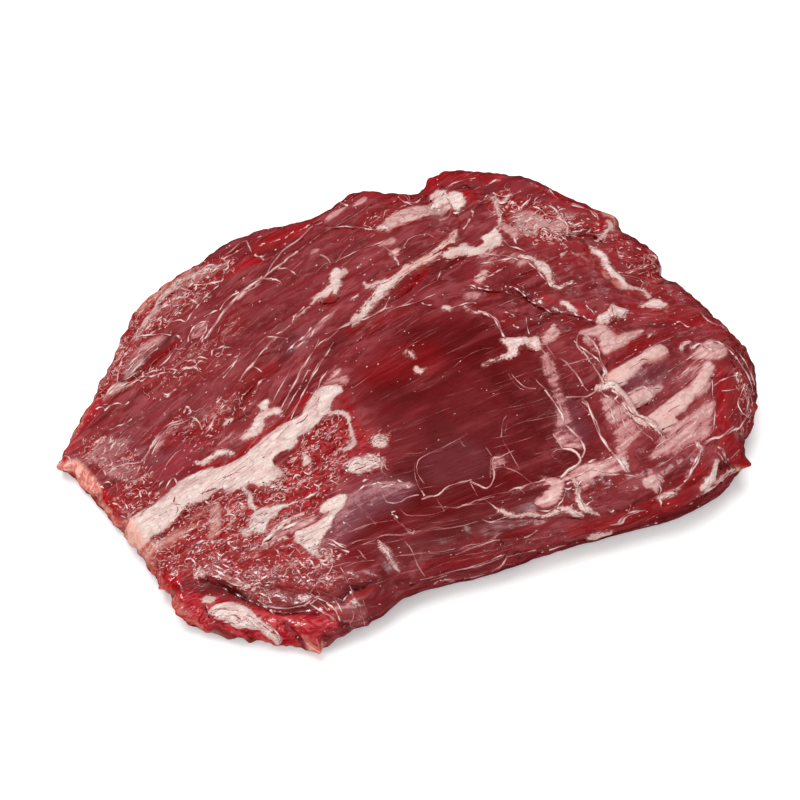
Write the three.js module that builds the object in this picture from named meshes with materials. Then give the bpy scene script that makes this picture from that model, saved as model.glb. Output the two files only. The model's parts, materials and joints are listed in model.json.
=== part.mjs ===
// A raw beef flank: one broad, flat piece of muscle with a knife-cut end, rounded sides,
// seams between its muscles, flaps that lie over each other and a lower layer that shows at the front.
// Millimetres. +X runs along the longest side, +Y to the back and +Z up. The origin lies under the
// middle of the piece, on the flat face that it rests on.
import * as THREE from "three";

// Driving dimensions
const GRAIN_LENGTH = 270; // typical length along the grain, from the cut end to the far end
const GRAIN_WIDTH = 158; // typical width across the grain
const CELL = 3.8; // spacing of the surface grid away from the edge
const RIM_ROWS = [0, 0.5, 1.8, 4.5, 8.5]; // distances from the edge of the close rows of the grid
const COARSE = 4; // fine cells to one cell of the face that it rests on
const SIDE_STEPS = 500; // points along a side of the outline
const EVENING = 0.16; // share of a side over which it is averaged for the lines of the grid
const EVENING_STEPS = 12;
const DETAIL_REACH = 0.16; // share of the grid into which the bays and tags of a side reach

// Cross-section of the side, as shares of the thickness there
const WIDEST_HEIGHT = 0.42; // height of the widest line
const RIM_ROUNDING = 0.6; // how far in from the edge the top is rounded over
const CUT_ROUNDING = 0.3; // the same at the knife-cut end, whose face is steeper
const CUT_REACH = 0.12; // share of the length over which the one gives way to the other
const FOOT_ROUNDING = 0.2; // how far the underside is rounded up to the widest line

// The widest line, anticlockwise, in four sides that share their corners
const LEFT_TIP = [-157, -39];
const FRONT_CORNER = [-30, -128];
const RIGHT_CORNER = [154, -4];
const BACK_CORNER = [99, 103];
const CUT_END = [
  LEFT_TIP,
  [-146, -50],
  [-135, -64],
  [-122, -81],
  [-112, -96],
  [-103, -109],
  [-96, -121],
  [-86, -126],
  [-58, -131],
  [-40, -134],
  FRONT_CORNER,
];
const FRONT_SIDE = [
  FRONT_CORNER,
  [-14, -119],
  [-3, -110],
  [27, -100],
  [42, -95],
  [52, -90],
  [86, -79],
  [110, -71],
  [131, -59],
  [140, -48],
  [144, -42],
  [144, -33],
  [151, -19],
  RIGHT_CORNER,
];
const FAR_END = [
  RIGHT_CORNER,
  [154, 12],
  [145, 29],
  [124, 56],
  [116, 63],
  [118, 73],
  [110, 85],
  [102, 93],
  BACK_CORNER,
];
const BACK_SIDE = [
  BACK_CORNER,
  [77, 114],
  [62, 127],
  [38, 135],
  [9, 136],
  [1, 123],
  [-16, 124],
  [-30, 125],
  [-43, 113],
  [-54, 105],
  [-84, 97],
  [-103, 79],
  [-129, 54],
  [-140, 15],
  [-152, -21],
  LEFT_TIP,
];

// Thickness at places on the piece: x, y, thickness
const THICKNESS_REACH = 34; // how far each place counts
const THICKNESS = [
  [-150, -38, 8],
  [-128, 15, 14],
  [-103, 65, 16],
  [-45, 98, 20],
  [2, 112, 21],
  [45, 118, 26],
  [98, 78, 27],
  [143, 10, 27],
  [122, -45, 30],
  [55, -72, 31],
  [2, -92, 29],
  [-32, -105, 26],
  [-80, -104, 20],
  [-118, -70, 17],
  [-72, 12, 24],
  [-38, -60, 27],
  [0, 0, 33],
  [70, 0, 35],
  [40, 60, 31],
];

// Broad forms of the top: each line's height fades out over its reach
const FORMS = [
  { name: "middle muscle", line: [[-30, -52], [16, -32], [68, 2]], reach: 30, height: 3 },
  { name: "back muscle", line: [[-116, -25], [-75, 35], [-10, 98]], reach: 17, height: 2 },
  { name: "front roll", line: [[-6, -96], [44, -76], [96, -62], [130, -44]], reach: 9, height: 2 },
  { name: "far lump", line: [[20, 118], [45, 120], [72, 104]], reach: 13, height: 3 },
  { name: "right lump", line: [[105, 70], [132, 36]], reach: 12, height: 2 },
  { name: "corner bulge", line: [[-27, -108], [-20, -120]], reach: 7, height: 3 },
  { name: "upper seam", line: [[-35, 13], [-19, 41], [-1, 60], [18, 74], [56, 90]], reach: 5, height: -2.6 },
  { name: "left seam", line: [[-133, -3], [-120, 12], [-108, 25]], reach: 4, height: -2.2 },
  { name: "middle seam", line: [[-76, -27], [-58, 8], [-45, 29]], reach: 4, height: -1.8 },
  { name: "notch valley", line: [[6, 121], [9, 107], [14, 95], [27, 81]], reach: 6, height: -3.5 },
  { name: "far valley", line: [[99, 92], [87, 79], [91, 66], [107, 45]], reach: 5, height: -2.8 },
  { name: "right valley", line: [[119, 60], [108, 48], [96, 36]], reach: 5, height: -2 },
  { name: "first strip", line: [[87, -22], [112, 5]], reach: 4, height: 1.6 },
  { name: "second strip", line: [[97, -49], [132, -7]], reach: 5, height: 1.8 },
  { name: "strip gap", line: [[92, -36], [118, -9]], reach: 4, height: -1.6 },
  { name: "fat band", line: [[-117, -93], [-89, -68], [-54, -33], [-39, -16]], reach: 5, height: 1.2 },
];

// Flaps: to the right of each line, walking along it, the layer under the flap shows. It is thinner by drop,
// which grows over a slope of that half width and is made up again over the reach.
const FLAPS = [
  {
    name: "front fold",
    line: [[-104, -99], [-84, -106], [-52, -116], [-34, -118], [-18, -110]],
    drop: 8,
    slope: 2.6,
    reach: 90,
  },
  { name: "middle flap", line: [[22, 46], [44, 42], [60, 31], [82, 21]], drop: 2.6, slope: 1.6, reach: 16 },
];
const FLAP_END = 3.5; // one over the share of a flap's line over which its step comes in at either end

const muscleRed = new THREE.MeshStandardMaterial({ color: 0x7a2b2f, roughness: 0.32, metalness: 0 });

const smooth = (t) => {
  const x = Math.min(Math.max(t, 0), 1);
  return x * x * (3 - 2 * x);
};

// A side of the outline, by share of its length: at gives its points, and evenedAt those of the same
// side without its small bays and tags.
function sideOf(run) {
  const corners = run.map(([x, y]) => new THREE.Vector3(x, y, 0));
  const fine = new THREE.CatmullRomCurve3(corners, false, "centripetal").getSpacedPoints(SIDE_STEPS);
  const at = (share) => {
    const place = Math.min(Math.max(share, 0), 1) * SIDE_STEPS;
    const whole = Math.min(Math.floor(place), SIDE_STEPS - 1);
    return fine[whole].clone().lerp(fine[whole + 1], place - whole);
  };
  const evenedAt = (share) => {
    const half = Math.min(EVENING, share, 1 - share);
    const sum = new THREE.Vector3();
    for (let k = -EVENING_STEPS; k <= EVENING_STEPS; k++) sum.add(at(share + (half * k) / EVENING_STEPS));
    return sum.divideScalar(2 * EVENING_STEPS + 1);
  };
  return { at, evenedAt };
}

// The nearest point of a line: its distance, negative to the right of the line, and its share of the
// line's segments.
function nearest(line, x, y) {
  let best = { distance: Infinity, share: 0 };
  for (let k = 0; k + 1 < line.length; k++) {
    const [ax, ay] = line[k];
    const [dx, dy] = [line[k + 1][0] - ax, line[k + 1][1] - ay];
    const t = Math.min(Math.max(((x - ax) * dx + (y - ay) * dy) / (dx * dx + dy * dy), 0), 1);
    const [px, py] = [x - ax - t * dx, y - ay - t * dy];
    const distance = Math.hypot(px, py);
    if (distance < Math.abs(best.distance)) {
      const side = dx * py - dy * px < 0 ? -1 : 1;
      best = { distance: side * distance, share: (k + t) / (line.length - 1) };
    }
  }
  return best;
}

// Thickness of the piece at a place, before its edge is rounded and without its broad forms.
function thicknessAt(x, y) {
  let sum = 0;
  let weights = 0;
  for (const [px, py, mm] of THICKNESS) {
    const weight = Math.exp(-((x - px) ** 2 + (y - py) ** 2) / (2 * THICKNESS_REACH ** 2));
    sum += weight * mm;
    weights += weight;
  }
  return sum / weights - fallAt(x, y);
}

// How much thinner the piece is where the layer under a flap shows.
function fallAt(x, y) {
  let fall = 0;
  for (const { line, drop, slope, reach } of FLAPS) {
    const { distance, share } = nearest(line, x, y);
    const fallen = smooth((slope - distance) / (2 * slope));
    const madeUp = smooth(-distance / reach);
    const ends = smooth(share * FLAP_END) * smooth((1 - share) * FLAP_END);
    fall += drop * fallen * (1 - madeUp) * ends;
  }
  return fall;
}

function reliefAt(x, y) {
  let relief = 0;
  for (const { line, reach, height } of FORMS) {
    relief += height * Math.exp(-((nearest(line, x, y).distance / reach) ** 2));
  }
  return relief;
}

// Shares of a side at which the grid has its lines: close rows at both ends, even ones between.
function gridLines(length) {
  const rim = RIM_ROWS[RIM_ROWS.length - 1];
  const even = Math.round((length - 2 * rim) / CELL / COARSE) * COARSE;
  const near = RIM_ROWS.map((mm) => mm / length);
  const step = (length - 2 * rim) / even;
  const between = Array.from({ length: even - 1 }, (_, k) => (rim + (k + 1) * step) / length);
  return [...near, ...between, ...near.map((share) => 1 - share).reverse()];
}

function flankGeometry() {
  const cutEnd = sideOf(CUT_END);
  const frontSide = sideOf(FRONT_SIDE);
  const farEnd = sideOf([...FAR_END].reverse());
  const backSide = sideOf([...BACK_SIDE].reverse());
  const along = gridLines(GRAIN_LENGTH);
  const across = gridLines(GRAIN_WIDTH);
  const [lastI, lastJ] = [along.length - 1, across.length - 1];

  // The plan position at u along and v across the grain is a Coons patch between the four evened sides,
  // and what a side differs from its evened line fades out towards the middle.
  const fading = (share) => 1 - smooth(share / DETAIL_REACH);
  const planAt = (u, v) => {
    const place = new THREE.Vector3();
    const add = (point, weight) => place.addScaledVector(point, weight);
    for (const [side, share, weight] of [
      [backSide, u, 1 - v],
      [frontSide, u, v],
      [cutEnd, v, 1 - u],
      [farEnd, v, u],
    ]) {
      const evened = side.evenedAt(share);
      add(evened, weight);
      add(side.at(share).sub(evened), fading(1 - weight));
    }
    add(cutEnd.at(0), -(1 - u) * (1 - v));
    add(cutEnd.at(1), -(1 - u) * v);
    add(farEnd.at(0), -u * (1 - v));
    add(farEnd.at(1), -u * v);
    return [place.x, place.y];
  };
  const plan = along.map((u) => across.map((v) => planAt(u, v)));
  const outline = [
    ...plan[0],
    ...plan.map((row) => row[lastJ]),
    ...[...plan[lastI]].reverse(),
    ...plan.map((row) => row[0]).reverse(),
  ].filter(([x, y], k, all) => k === 0 || x !== all[k - 1][0] || y !== all[k - 1][1]);

  const positions = [];
  const numbers = new Map();
  const onEdge = (i, j) => i === 0 || j === 0 || i === lastI || j === lastJ;

  // The vertex of the upper or lower face at grid place i, j. Both faces share those of the widest line.
  const vertex = (upper, i, j) => {
    const key = `${onEdge(i, j) || upper},${i},${j}`;
    if (!numbers.has(key)) {
      const [x, y] = plan[i][j];
      const thickness = thicknessAt(x, y);
      const middle = WIDEST_HEIGHT * thickness;
      const edge = onEdge(i, j) ? 0 : Math.abs(nearest(outline, x, y).distance);
      const rounding = CUT_ROUNDING + (RIM_ROUNDING - CUT_ROUNDING) * smooth(along[i] / CUT_REACH);
      const reach = thickness * (upper ? rounding : FOOT_ROUNDING);
      const rise = Math.sqrt(1 - (1 - Math.min(edge / reach, 1)) ** 2);
      const target = upper ? thickness + reliefAt(x, y) : 0;
      numbers.set(key, positions.length / 3);
      positions.push(x, y, middle + (target - middle) * rise);
    }
    return numbers.get(key);
  };

  const index = [];
  const addFan = (loop, upper) => {
    for (let k = 1; k + 1 < loop.length; k++) {
      index.push(...(upper ? [loop[0], loop[k], loop[k + 1]] : [loop[0], loop[k + 1], loop[k]]));
    }
  };
  const rim = RIM_ROWS.length - 1;
  const inRim = (i, j) => i < rim || j < rim || i >= lastI - rim || j >= lastJ - rim;
  for (let i = 0; i < lastI; i++) {
    for (let j = 0; j < lastJ; j++) {
      const cell = (upper) => [
        vertex(upper, i, j),
        vertex(upper, i, j + 1),
        vertex(upper, i + 1, j + 1),
        vertex(upper, i + 1, j),
      ];
      addFan(cell(true), true);
      if (inRim(i, j)) addFan(cell(false), false);
    }
  }

  // The coarse cells of the underside. Those along the rim take all of its vertices on their outer edges.
  const steps = Array.from({ length: COARSE + 1 }, (_, k) => k);
  for (let i = rim; i < lastI - rim; i += COARSE) {
    for (let j = rim; j < lastJ - rim; j += COARSE) {
      const edgeSteps = (atRim) => (atRim ? steps : [0, COARSE]);
      const loop = [
        ...edgeSteps(i === rim).map((k) => [i, j + k]),
        ...edgeSteps(j + COARSE === lastJ - rim).map((k) => [i + k, j + COARSE]),
        ...edgeSteps(i + COARSE === lastI - rim).map((k) => [i + COARSE, j + COARSE - k]),
        ...edgeSteps(j === rim).map((k) => [i + COARSE - k, j]),
      ].filter(([a, b], k, all) => {
        const [c, d] = all[(k + all.length - 1) % all.length];
        return a !== c || b !== d;
      });
      const apex = loop.findIndex(
        ([a, b]) =>
          a === (i === rim ? i + COARSE : i) && b === (j === rim ? j + COARSE : j),
      );
      const turned = [...loop.slice(apex), ...loop.slice(0, apex)];
      addFan(turned.map(([a, b]) => vertex(false, a, b)), false);
    }
  }

  const geometry = new THREE.BufferGeometry();
  geometry.setAttribute("position", new THREE.Float32BufferAttribute(positions, 3));
  geometry.setIndex(index);
  geometry.computeBoundingBox();
  const { min, max } = geometry.boundingBox;
  geometry.translate(-(min.x + max.x) / 2, -(min.y + max.y) / 2, -min.z);
  geometry.computeVertexNormals();
  return geometry;
}

const part = new THREE.Group();
const flank = new THREE.Mesh(flankGeometry(), muscleRed);
flank.name = "beef_flank";
part.add(flank);

export default part;
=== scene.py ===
import json
import math
import re

import bmesh
import bpy
import numpy as np
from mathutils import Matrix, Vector, noise
from mathutils.bvhtree import BVHTree

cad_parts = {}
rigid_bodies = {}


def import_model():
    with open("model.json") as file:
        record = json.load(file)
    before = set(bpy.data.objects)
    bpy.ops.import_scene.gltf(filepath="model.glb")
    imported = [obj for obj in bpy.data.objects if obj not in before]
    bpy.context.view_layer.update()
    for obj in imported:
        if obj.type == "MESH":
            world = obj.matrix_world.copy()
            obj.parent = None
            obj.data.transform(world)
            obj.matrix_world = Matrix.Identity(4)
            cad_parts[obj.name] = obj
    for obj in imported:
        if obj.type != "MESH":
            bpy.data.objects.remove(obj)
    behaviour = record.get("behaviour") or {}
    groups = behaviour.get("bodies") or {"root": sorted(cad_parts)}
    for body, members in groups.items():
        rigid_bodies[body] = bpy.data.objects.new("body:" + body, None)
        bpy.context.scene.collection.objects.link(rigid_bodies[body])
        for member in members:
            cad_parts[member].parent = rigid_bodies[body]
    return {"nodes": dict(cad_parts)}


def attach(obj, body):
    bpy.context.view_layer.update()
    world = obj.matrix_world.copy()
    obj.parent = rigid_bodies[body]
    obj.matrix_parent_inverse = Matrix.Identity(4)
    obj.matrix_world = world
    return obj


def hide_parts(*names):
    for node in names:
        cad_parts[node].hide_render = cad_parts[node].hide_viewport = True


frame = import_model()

# Objects that Blender starts with
for other in [thing for thing in bpy.data.objects if not thing.name.startswith(("beef", "body"))]:
    bpy.data.objects.remove(other)
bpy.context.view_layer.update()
scene = bpy.context.scene

MM = 0.001

# Camera
IMAGE_SIDE = 800
LENS_MM = 85.0
SENSOR_MM = 36.0
ELEVATION = math.radians(50)
AIM = Vector((-5.5, 0.6, 0)) * MM
PIXEL_AT_AIM = 0.457 * MM
FOCAL_PIXELS = IMAGE_SIDE * LENS_MM / SENSOR_MM
CAMERA_DISTANCE = PIXEL_AT_AIM * FOCAL_PIXELS


class View:
    """Turns places into pixels of the view, and pixels into rays."""

    def __init__(self):
        back = Vector((0, -math.cos(ELEVATION), math.sin(ELEVATION)))
        self.place = AIM + back * CAMERA_DISTANCE
        self.back = back
        self.right = Vector((1, 0, 0))
        self.up = back.cross(self.right)

    def pixels(self, places):
        """Pixels across and down at which each place shows."""
        away = np.asarray(places, float) - np.array(self.place)
        depth = -(away @ np.array(self.back))
        across = IMAGE_SIDE / 2 + FOCAL_PIXELS * (away @ np.array(self.right)) / depth
        down = IMAGE_SIDE / 2 - FOCAL_PIXELS * (away @ np.array(self.up)) / depth
        return np.column_stack((across, down))

    def ray(self, across, down):
        """Direction from the camera through a pixel."""
        sideways = self.right * (across - IMAGE_SIDE / 2)
        upwards = self.up * (IMAGE_SIDE / 2 - down)
        return (sideways + upwards - self.back * FOCAL_PIXELS).normalized()

    def add_camera(self):
        data = bpy.data.cameras.new("camera")
        data.lens = LENS_MM
        data.sensor_width = SENSOR_MM
        camera = bpy.data.objects.new("camera", data)
        camera.location = self.place
        camera.rotation_euler = (math.pi / 2 - ELEVATION, 0, 0)
        scene.collection.objects.link(camera)
        scene.camera = camera


view = View()

# Marks read in the view
ENTRY = r"([a-z][a-z ]*)(?: \(([^)]*)\))?: ([\d., \n]+)"
NUMBER = r"[-\d.]+"


def traced(text):
    """Marks written as NAME (VALUES): POINT, POINT ... come back as (name, points, values ...).

    A point is pixels across and pixels down and, on a line, the line's half width there.
    """
    marks = []
    for name, values, points in re.findall(ENTRY, text):
        places = [tuple(map(float, point.split())) for point in points.split(",")]
        marks.append((name, places, *map(float, re.findall(NUMBER, values))))
    return marks


# Outlines of firm white fat
FAT_AREAS = traced("""
main band: 126 521, 140 512, 160 500, 172 490, 183 481, 195 473, 205 469, 225 464, 240 457, 255 443,
    268 434, 283 424, 298 417, 304 411, 308 403, 318 391, 326 386, 341 385, 342 391, 336 397, 332 405,
    330 413, 322 419, 313 429, 299 437, 297 442, 290 449, 277 455, 273 462, 284 473, 276 481, 262 486,
    250 484, 235 492, 222 489, 210 493, 205 500, 190 505, 180 515, 163 530, 152 536, 145 546, 139 550,
    131 544, 128 533
upper fleck: 257 407, 262 402, 268 400, 272 402, 268 406, 269 409, 264 412
long fleck: 256 418, 260 413, 268 411, 275 408, 281 409, 281 415, 274 416, 265 419, 265 425, 259 433,
    251 437, 240 439, 247 431, 252 426
raised lump: 330 275, 333 270, 337 268, 341 271, 344 268, 347 270, 346 274, 341 279, 341 286, 336 294,
    331 293, 322 297, 313 299, 317 294, 323 289, 330 285
wide seam fat: 442 256, 447 250, 455 248, 465 244, 472 247, 479 246, 484 243, 481 239, 484 235, 490 232,
    496 228, 499 232, 502 238, 501 245, 490 249, 484 252, 478 256, 465 254, 450 258
upper seam blob: 448 197, 452 192, 458 191, 463 195, 466 204, 462 209, 456 212, 450 205
right lump: 609 310, 611 305, 616 305, 620 309, 626 308, 628 312, 623 318, 612 320, 608 323, 602 324,
    597 321, 598 317, 604 314
far lump fat: 641 304, 646 301, 654 298, 663 300, 668 306, 660 307, 652 306, 646 305
middle lump: 502 340, 508 338, 518 339, 524 337, 531 339, 537 337, 540 341, 541 348, 536 350, 531 346,
    525 346, 519 349, 517 355, 509 357, 508 349, 502 345
ledge streak: 208 612, 213 606, 222 603, 232 602, 242 605, 250 610, 258 616, 265 624, 272 630, 280 637,
    282 641, 277 642, 272 638, 264 634, 256 630, 248 628, 240 629, 234 627, 228 622, 220 620, 213 616
ledge fleck: 201 600, 205 596, 212 596, 217 599, 210 603, 204 603
left patch: 241 535, 243 529, 248 527, 250 520, 252 515, 258 511, 263 508, 270 507, 277 505, 284 503,
    291 504, 287 508, 281 511, 278 517, 272 520, 268 524, 266 530, 262 533, 257 534, 252 532, 247 537
front patch: 293 535, 297 531, 304 529, 312 525, 320 521, 326 517, 330 512, 322 513, 318 511, 322 505,
    326 501, 333 497, 342 494, 349 494, 346 502, 343 508, 338 514, 334 520, 330 528, 325 534, 321 541,
    318 547, 319 553, 322 558, 314 556, 307 551, 301 545, 296 541
glossy film: 346 466, 350 460, 357 457, 362 458, 368 454, 375 455, 378 458, 384 458, 381 463, 384 467,
    376 467, 370 468, 372 472, 364 471, 360 474, 354 472, 349 471
striped film: 372 440, 377 435, 386 436, 388 442, 382 447, 375 446
small patch: 302 461, 304 455, 308 455, 310 460, 309 465, 303 465
""")

# Lines of firm white fat
FAT_LINES = traced("""
field strip: 263 544 1.4, 268 538 2.2, 275 531 2.8, 283 525 2.6, 292 519 2.4, 303 514 1.4
field strip side: 268 545 0.8, 278 541 1.4, 286 537 1.2
field spot: 239 530 1, 244 532 2, 248 536 1.4
vertical crumple: 379 541 0.8, 383 547 2.2, 387 552 2.6, 390 558 2.2, 394 565 1.6, 399 571 1
round patch tail: 337 450 1, 344 449 1.8, 349 445 1.8, 352 440 1.2
round patch rim: 331 414 2, 340 412 2.2, 347 416 2.4, 350 425 1.8, 352 434 2, 354 443 3, 349 448 3,
    340 449 2
side sliver: 195 461 1.5, 203 462 2.5, 213 457 2, 222 453 3, 232 452 2
lump tail: 321 299 1.6, 313 302 1, 308 308 0.8, 300 315 0.6, 294 318 0.9
seam: 356 318 2, 363 313 2.5, 366 307 3.5, 372 300 3, 377 295 3.5, 382 289 4, 390 283 4, 398 276 3.5,
    405 270 3.5, 413 266 3.5, 420 262 3, 428 258 3, 436 253 3.5, 442 248 3.5, 448 243 4, 453 238 3.5,
    455 231 1.5
seam shoulder: 365 284 2, 372 286 2.4, 380 283 2.6, 388 281 2
seam riser: 499 230 2, 500 220 1.6, 497 208 1.3, 493 199 1.5
upper seam: 378 228 1.4, 383 227 3, 388 228 2
upper seam edge: 394 217 0.8, 402 213 1.4, 411 212 1.2, 419 213 1.6, 427 211 1.2
upper seam end: 432 207 2.4, 438 203 4, 446 199 4.4
upper seam top: 431 197 2, 438 194 3.2, 446 192 2.4
film curl: 520 257 1.4, 528 258 1.6, 536 262 3, 544 268 5, 548 274 4, 550 280 2, 554 287 2, 560 288 1.6,
    566 285 1.4, 572 282 1.2
far line: 588 241 1, 592 247 1.5, 600 252 2.5, 605 258 3, 608 266 3, 613 272 3, 618 276 3, 622 281 3,
    625 286 2.6, 634 288 1.6, 644 290 2, 649 297 1.5
lump streak: 510 356 2.6, 503 357 2, 497 359 1.5, 490 362 2, 483 366 1.6
near curl: 547 333 1.2, 552 331 2.4, 554 327 2.2
trunk: 598 389 3, 606 386 4, 614 386 4, 620 392 3.4, 626 399 3, 632 408 2.6, 636 415 3, 643 420 3,
    650 425 3, 657 431 2.2, 664 438 1.2
trunk side: 622 402 1.5, 627 412 1.6, 635 418 2, 646 427 1.5
web foot: 623 460 3, 625 466 4, 628 471 2
net stem: 556 511 2, 564 509 2.4, 571 511 3, 579 515 3, 583 516 1.6
net riser: 574 480 1.5, 577 487 1.8, 578 494 2.4, 579 501 3.4, 583 507 4, 590 511 2.2, 598 514 1.2
net line: 500 511 1.8, 508 514 2.2, 516 516 1.6, 528 514 2.2, 536 515 2, 545 516 1.6, 556 513 2
front seam fat: 588 538 1.6, 595 537 4, 603 534 3, 611 532 1.5
end streak: 716 462 2, 715 470 3.5, 712 477 4, 706 484 3.6, 701 488 2
end edge: 736 469 1.4, 728 474 1.8, 720 481 1.6, 712 488 1.2, 704 493 1
end fleck: 697 443 1.6, 701 448 3, 700 453 1.4
patch tip: 658 474 1.2, 661 479 2.4, 663 481 1
stray streak: 660 499 1.6, 668 496 2.2, 675 494 2
fold knuckle: 197 574 2.4, 201 573 2.8, 204 577 1.6
corner bead: 350 602 1.6, 355 601 2.4, 358 605 1.6
bead: 349 571 1, 353 574 2.2, 357 577 1
white curls: 242 488 1.5, 247 492 2.5, 251 497 2.4, 250 503 2.8, 254 507 2.6, 257 512 1.4
rim cream: 156 302 1.4, 163 297 2.2, 172 289 2.7, 182 280 2.8, 194 275 2.3, 206 271 1.8, 217 267 1.4,
    227 264 1
rim cream low: 137 340 1, 141 330 1.6, 147 320 1.9, 153 311 1.8, 158 305 1.6
left fleck: 225 424 1.4, 229 420 2.8, 232 416 1.4
left bead: 123 479 1.6, 127 480 1.8
left bead two: 133 482 1.2, 137 482 1.6
knuckle: 196 576 2, 200 572 3, 205 575 2.4
centre fleck: 416 369 2, 420 372 2, 426 370 1.2
centre fleck two: 405 354 1.6, 409 353 1.4, 414 357 1
seam bead: 443 309 1.5, 447 308 2.2, 451 310 1.4
rim mark: 681 350 1.4, 683 345 1.6, 689 342 1.2
rim mark two: 692 348 1.8, 697 345 1.4
rim mark three: 706 347 1.4, 711 350 1.8
second flap: 560 302 1.2, 565 304 2.6, 571 308 2.6, 576 311 1.2
notch cream: 597 238 1, 602 235 1.6, 607 231 2.2, 611 227 2.4, 607 223 1.2
seam drop: 352 321 1.6, 355 318 2.6, 359 315 1.4
top wisp: 496 198 1, 500 204 1.6, 506 200 1.2, 512 196 1
""")

# Salmon flesh along the cut edges: lines with the softness of their edge in pixels and their strength
SALMONS = traced("""
left end (3, 1): 64 469 5, 74 466 6, 82 474 7, 93 488 7
left tag (2, 0.8): 60 464 4, 65 472 4
cut rim (2.5, 0.5): 93 491 3, 104 507 3, 114 520 3, 124 534 5
band end (5, 0.8): 128 526 8, 136 540 9, 141 549 7
under the band (3, 0.45): 152 544 4, 147 555 6, 151 563 5
low rim (3, 0.3): 152 568 3, 158 578 3, 168 591 3, 177 602 3, 186 612 3
upper rim (3, 0.3): 70 440 3, 80 418 4, 90 399 4, 100 383 4, 108 365 4, 118 346 4
upper rim end (3, 0.6): 138 311 3, 150 299 4, 162 289 4, 174 281 3, 190 269 2
streak (1.6, 0.5): 156 549 2, 165 544 3, 175 538 3, 186 531 3, 198 525 1.6
streak two (1.4, 0.5): 190 522 1, 198 516 1.6, 205 509 2, 210 503 1.4
flesh strip (1.6, 0.35): 216 507 2, 213 516 3, 216 524 3.4, 212 533 4, 210 538 2.4
flap tip (2, 0.8): 304 638 3, 312 646 4, 320 645 4
far knob (2, 0.7): 604 214 2, 611 216 3.5, 615 222 3
seam (3, 0.5): 400 274 2, 415 265 3, 430 256 3, 444 246 3, 453 236 2
strip head (2.5, 0.35): 603 380 3, 609 376 4, 614 372 3
strip side (2, 0.35): 650 364 1.5, 658 360 2.5, 665 356 2
strip foot (2, 0.3): 662 420 1.5, 669 419 2.5, 675 420 1.5
far line side (2, 0.6): 604 270 2, 607 275 2.5
far line foot (2, 0.6): 614 280 2, 619 284 2.5
nub tip (2, 0.6): 735 468 2, 741 468 2
ledge rim (2.5, 0.25): 188 616 3, 198 628 3, 216 635 3, 242 641 2.5, 270 645 2.5, 298 648 2.5
""")

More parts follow.
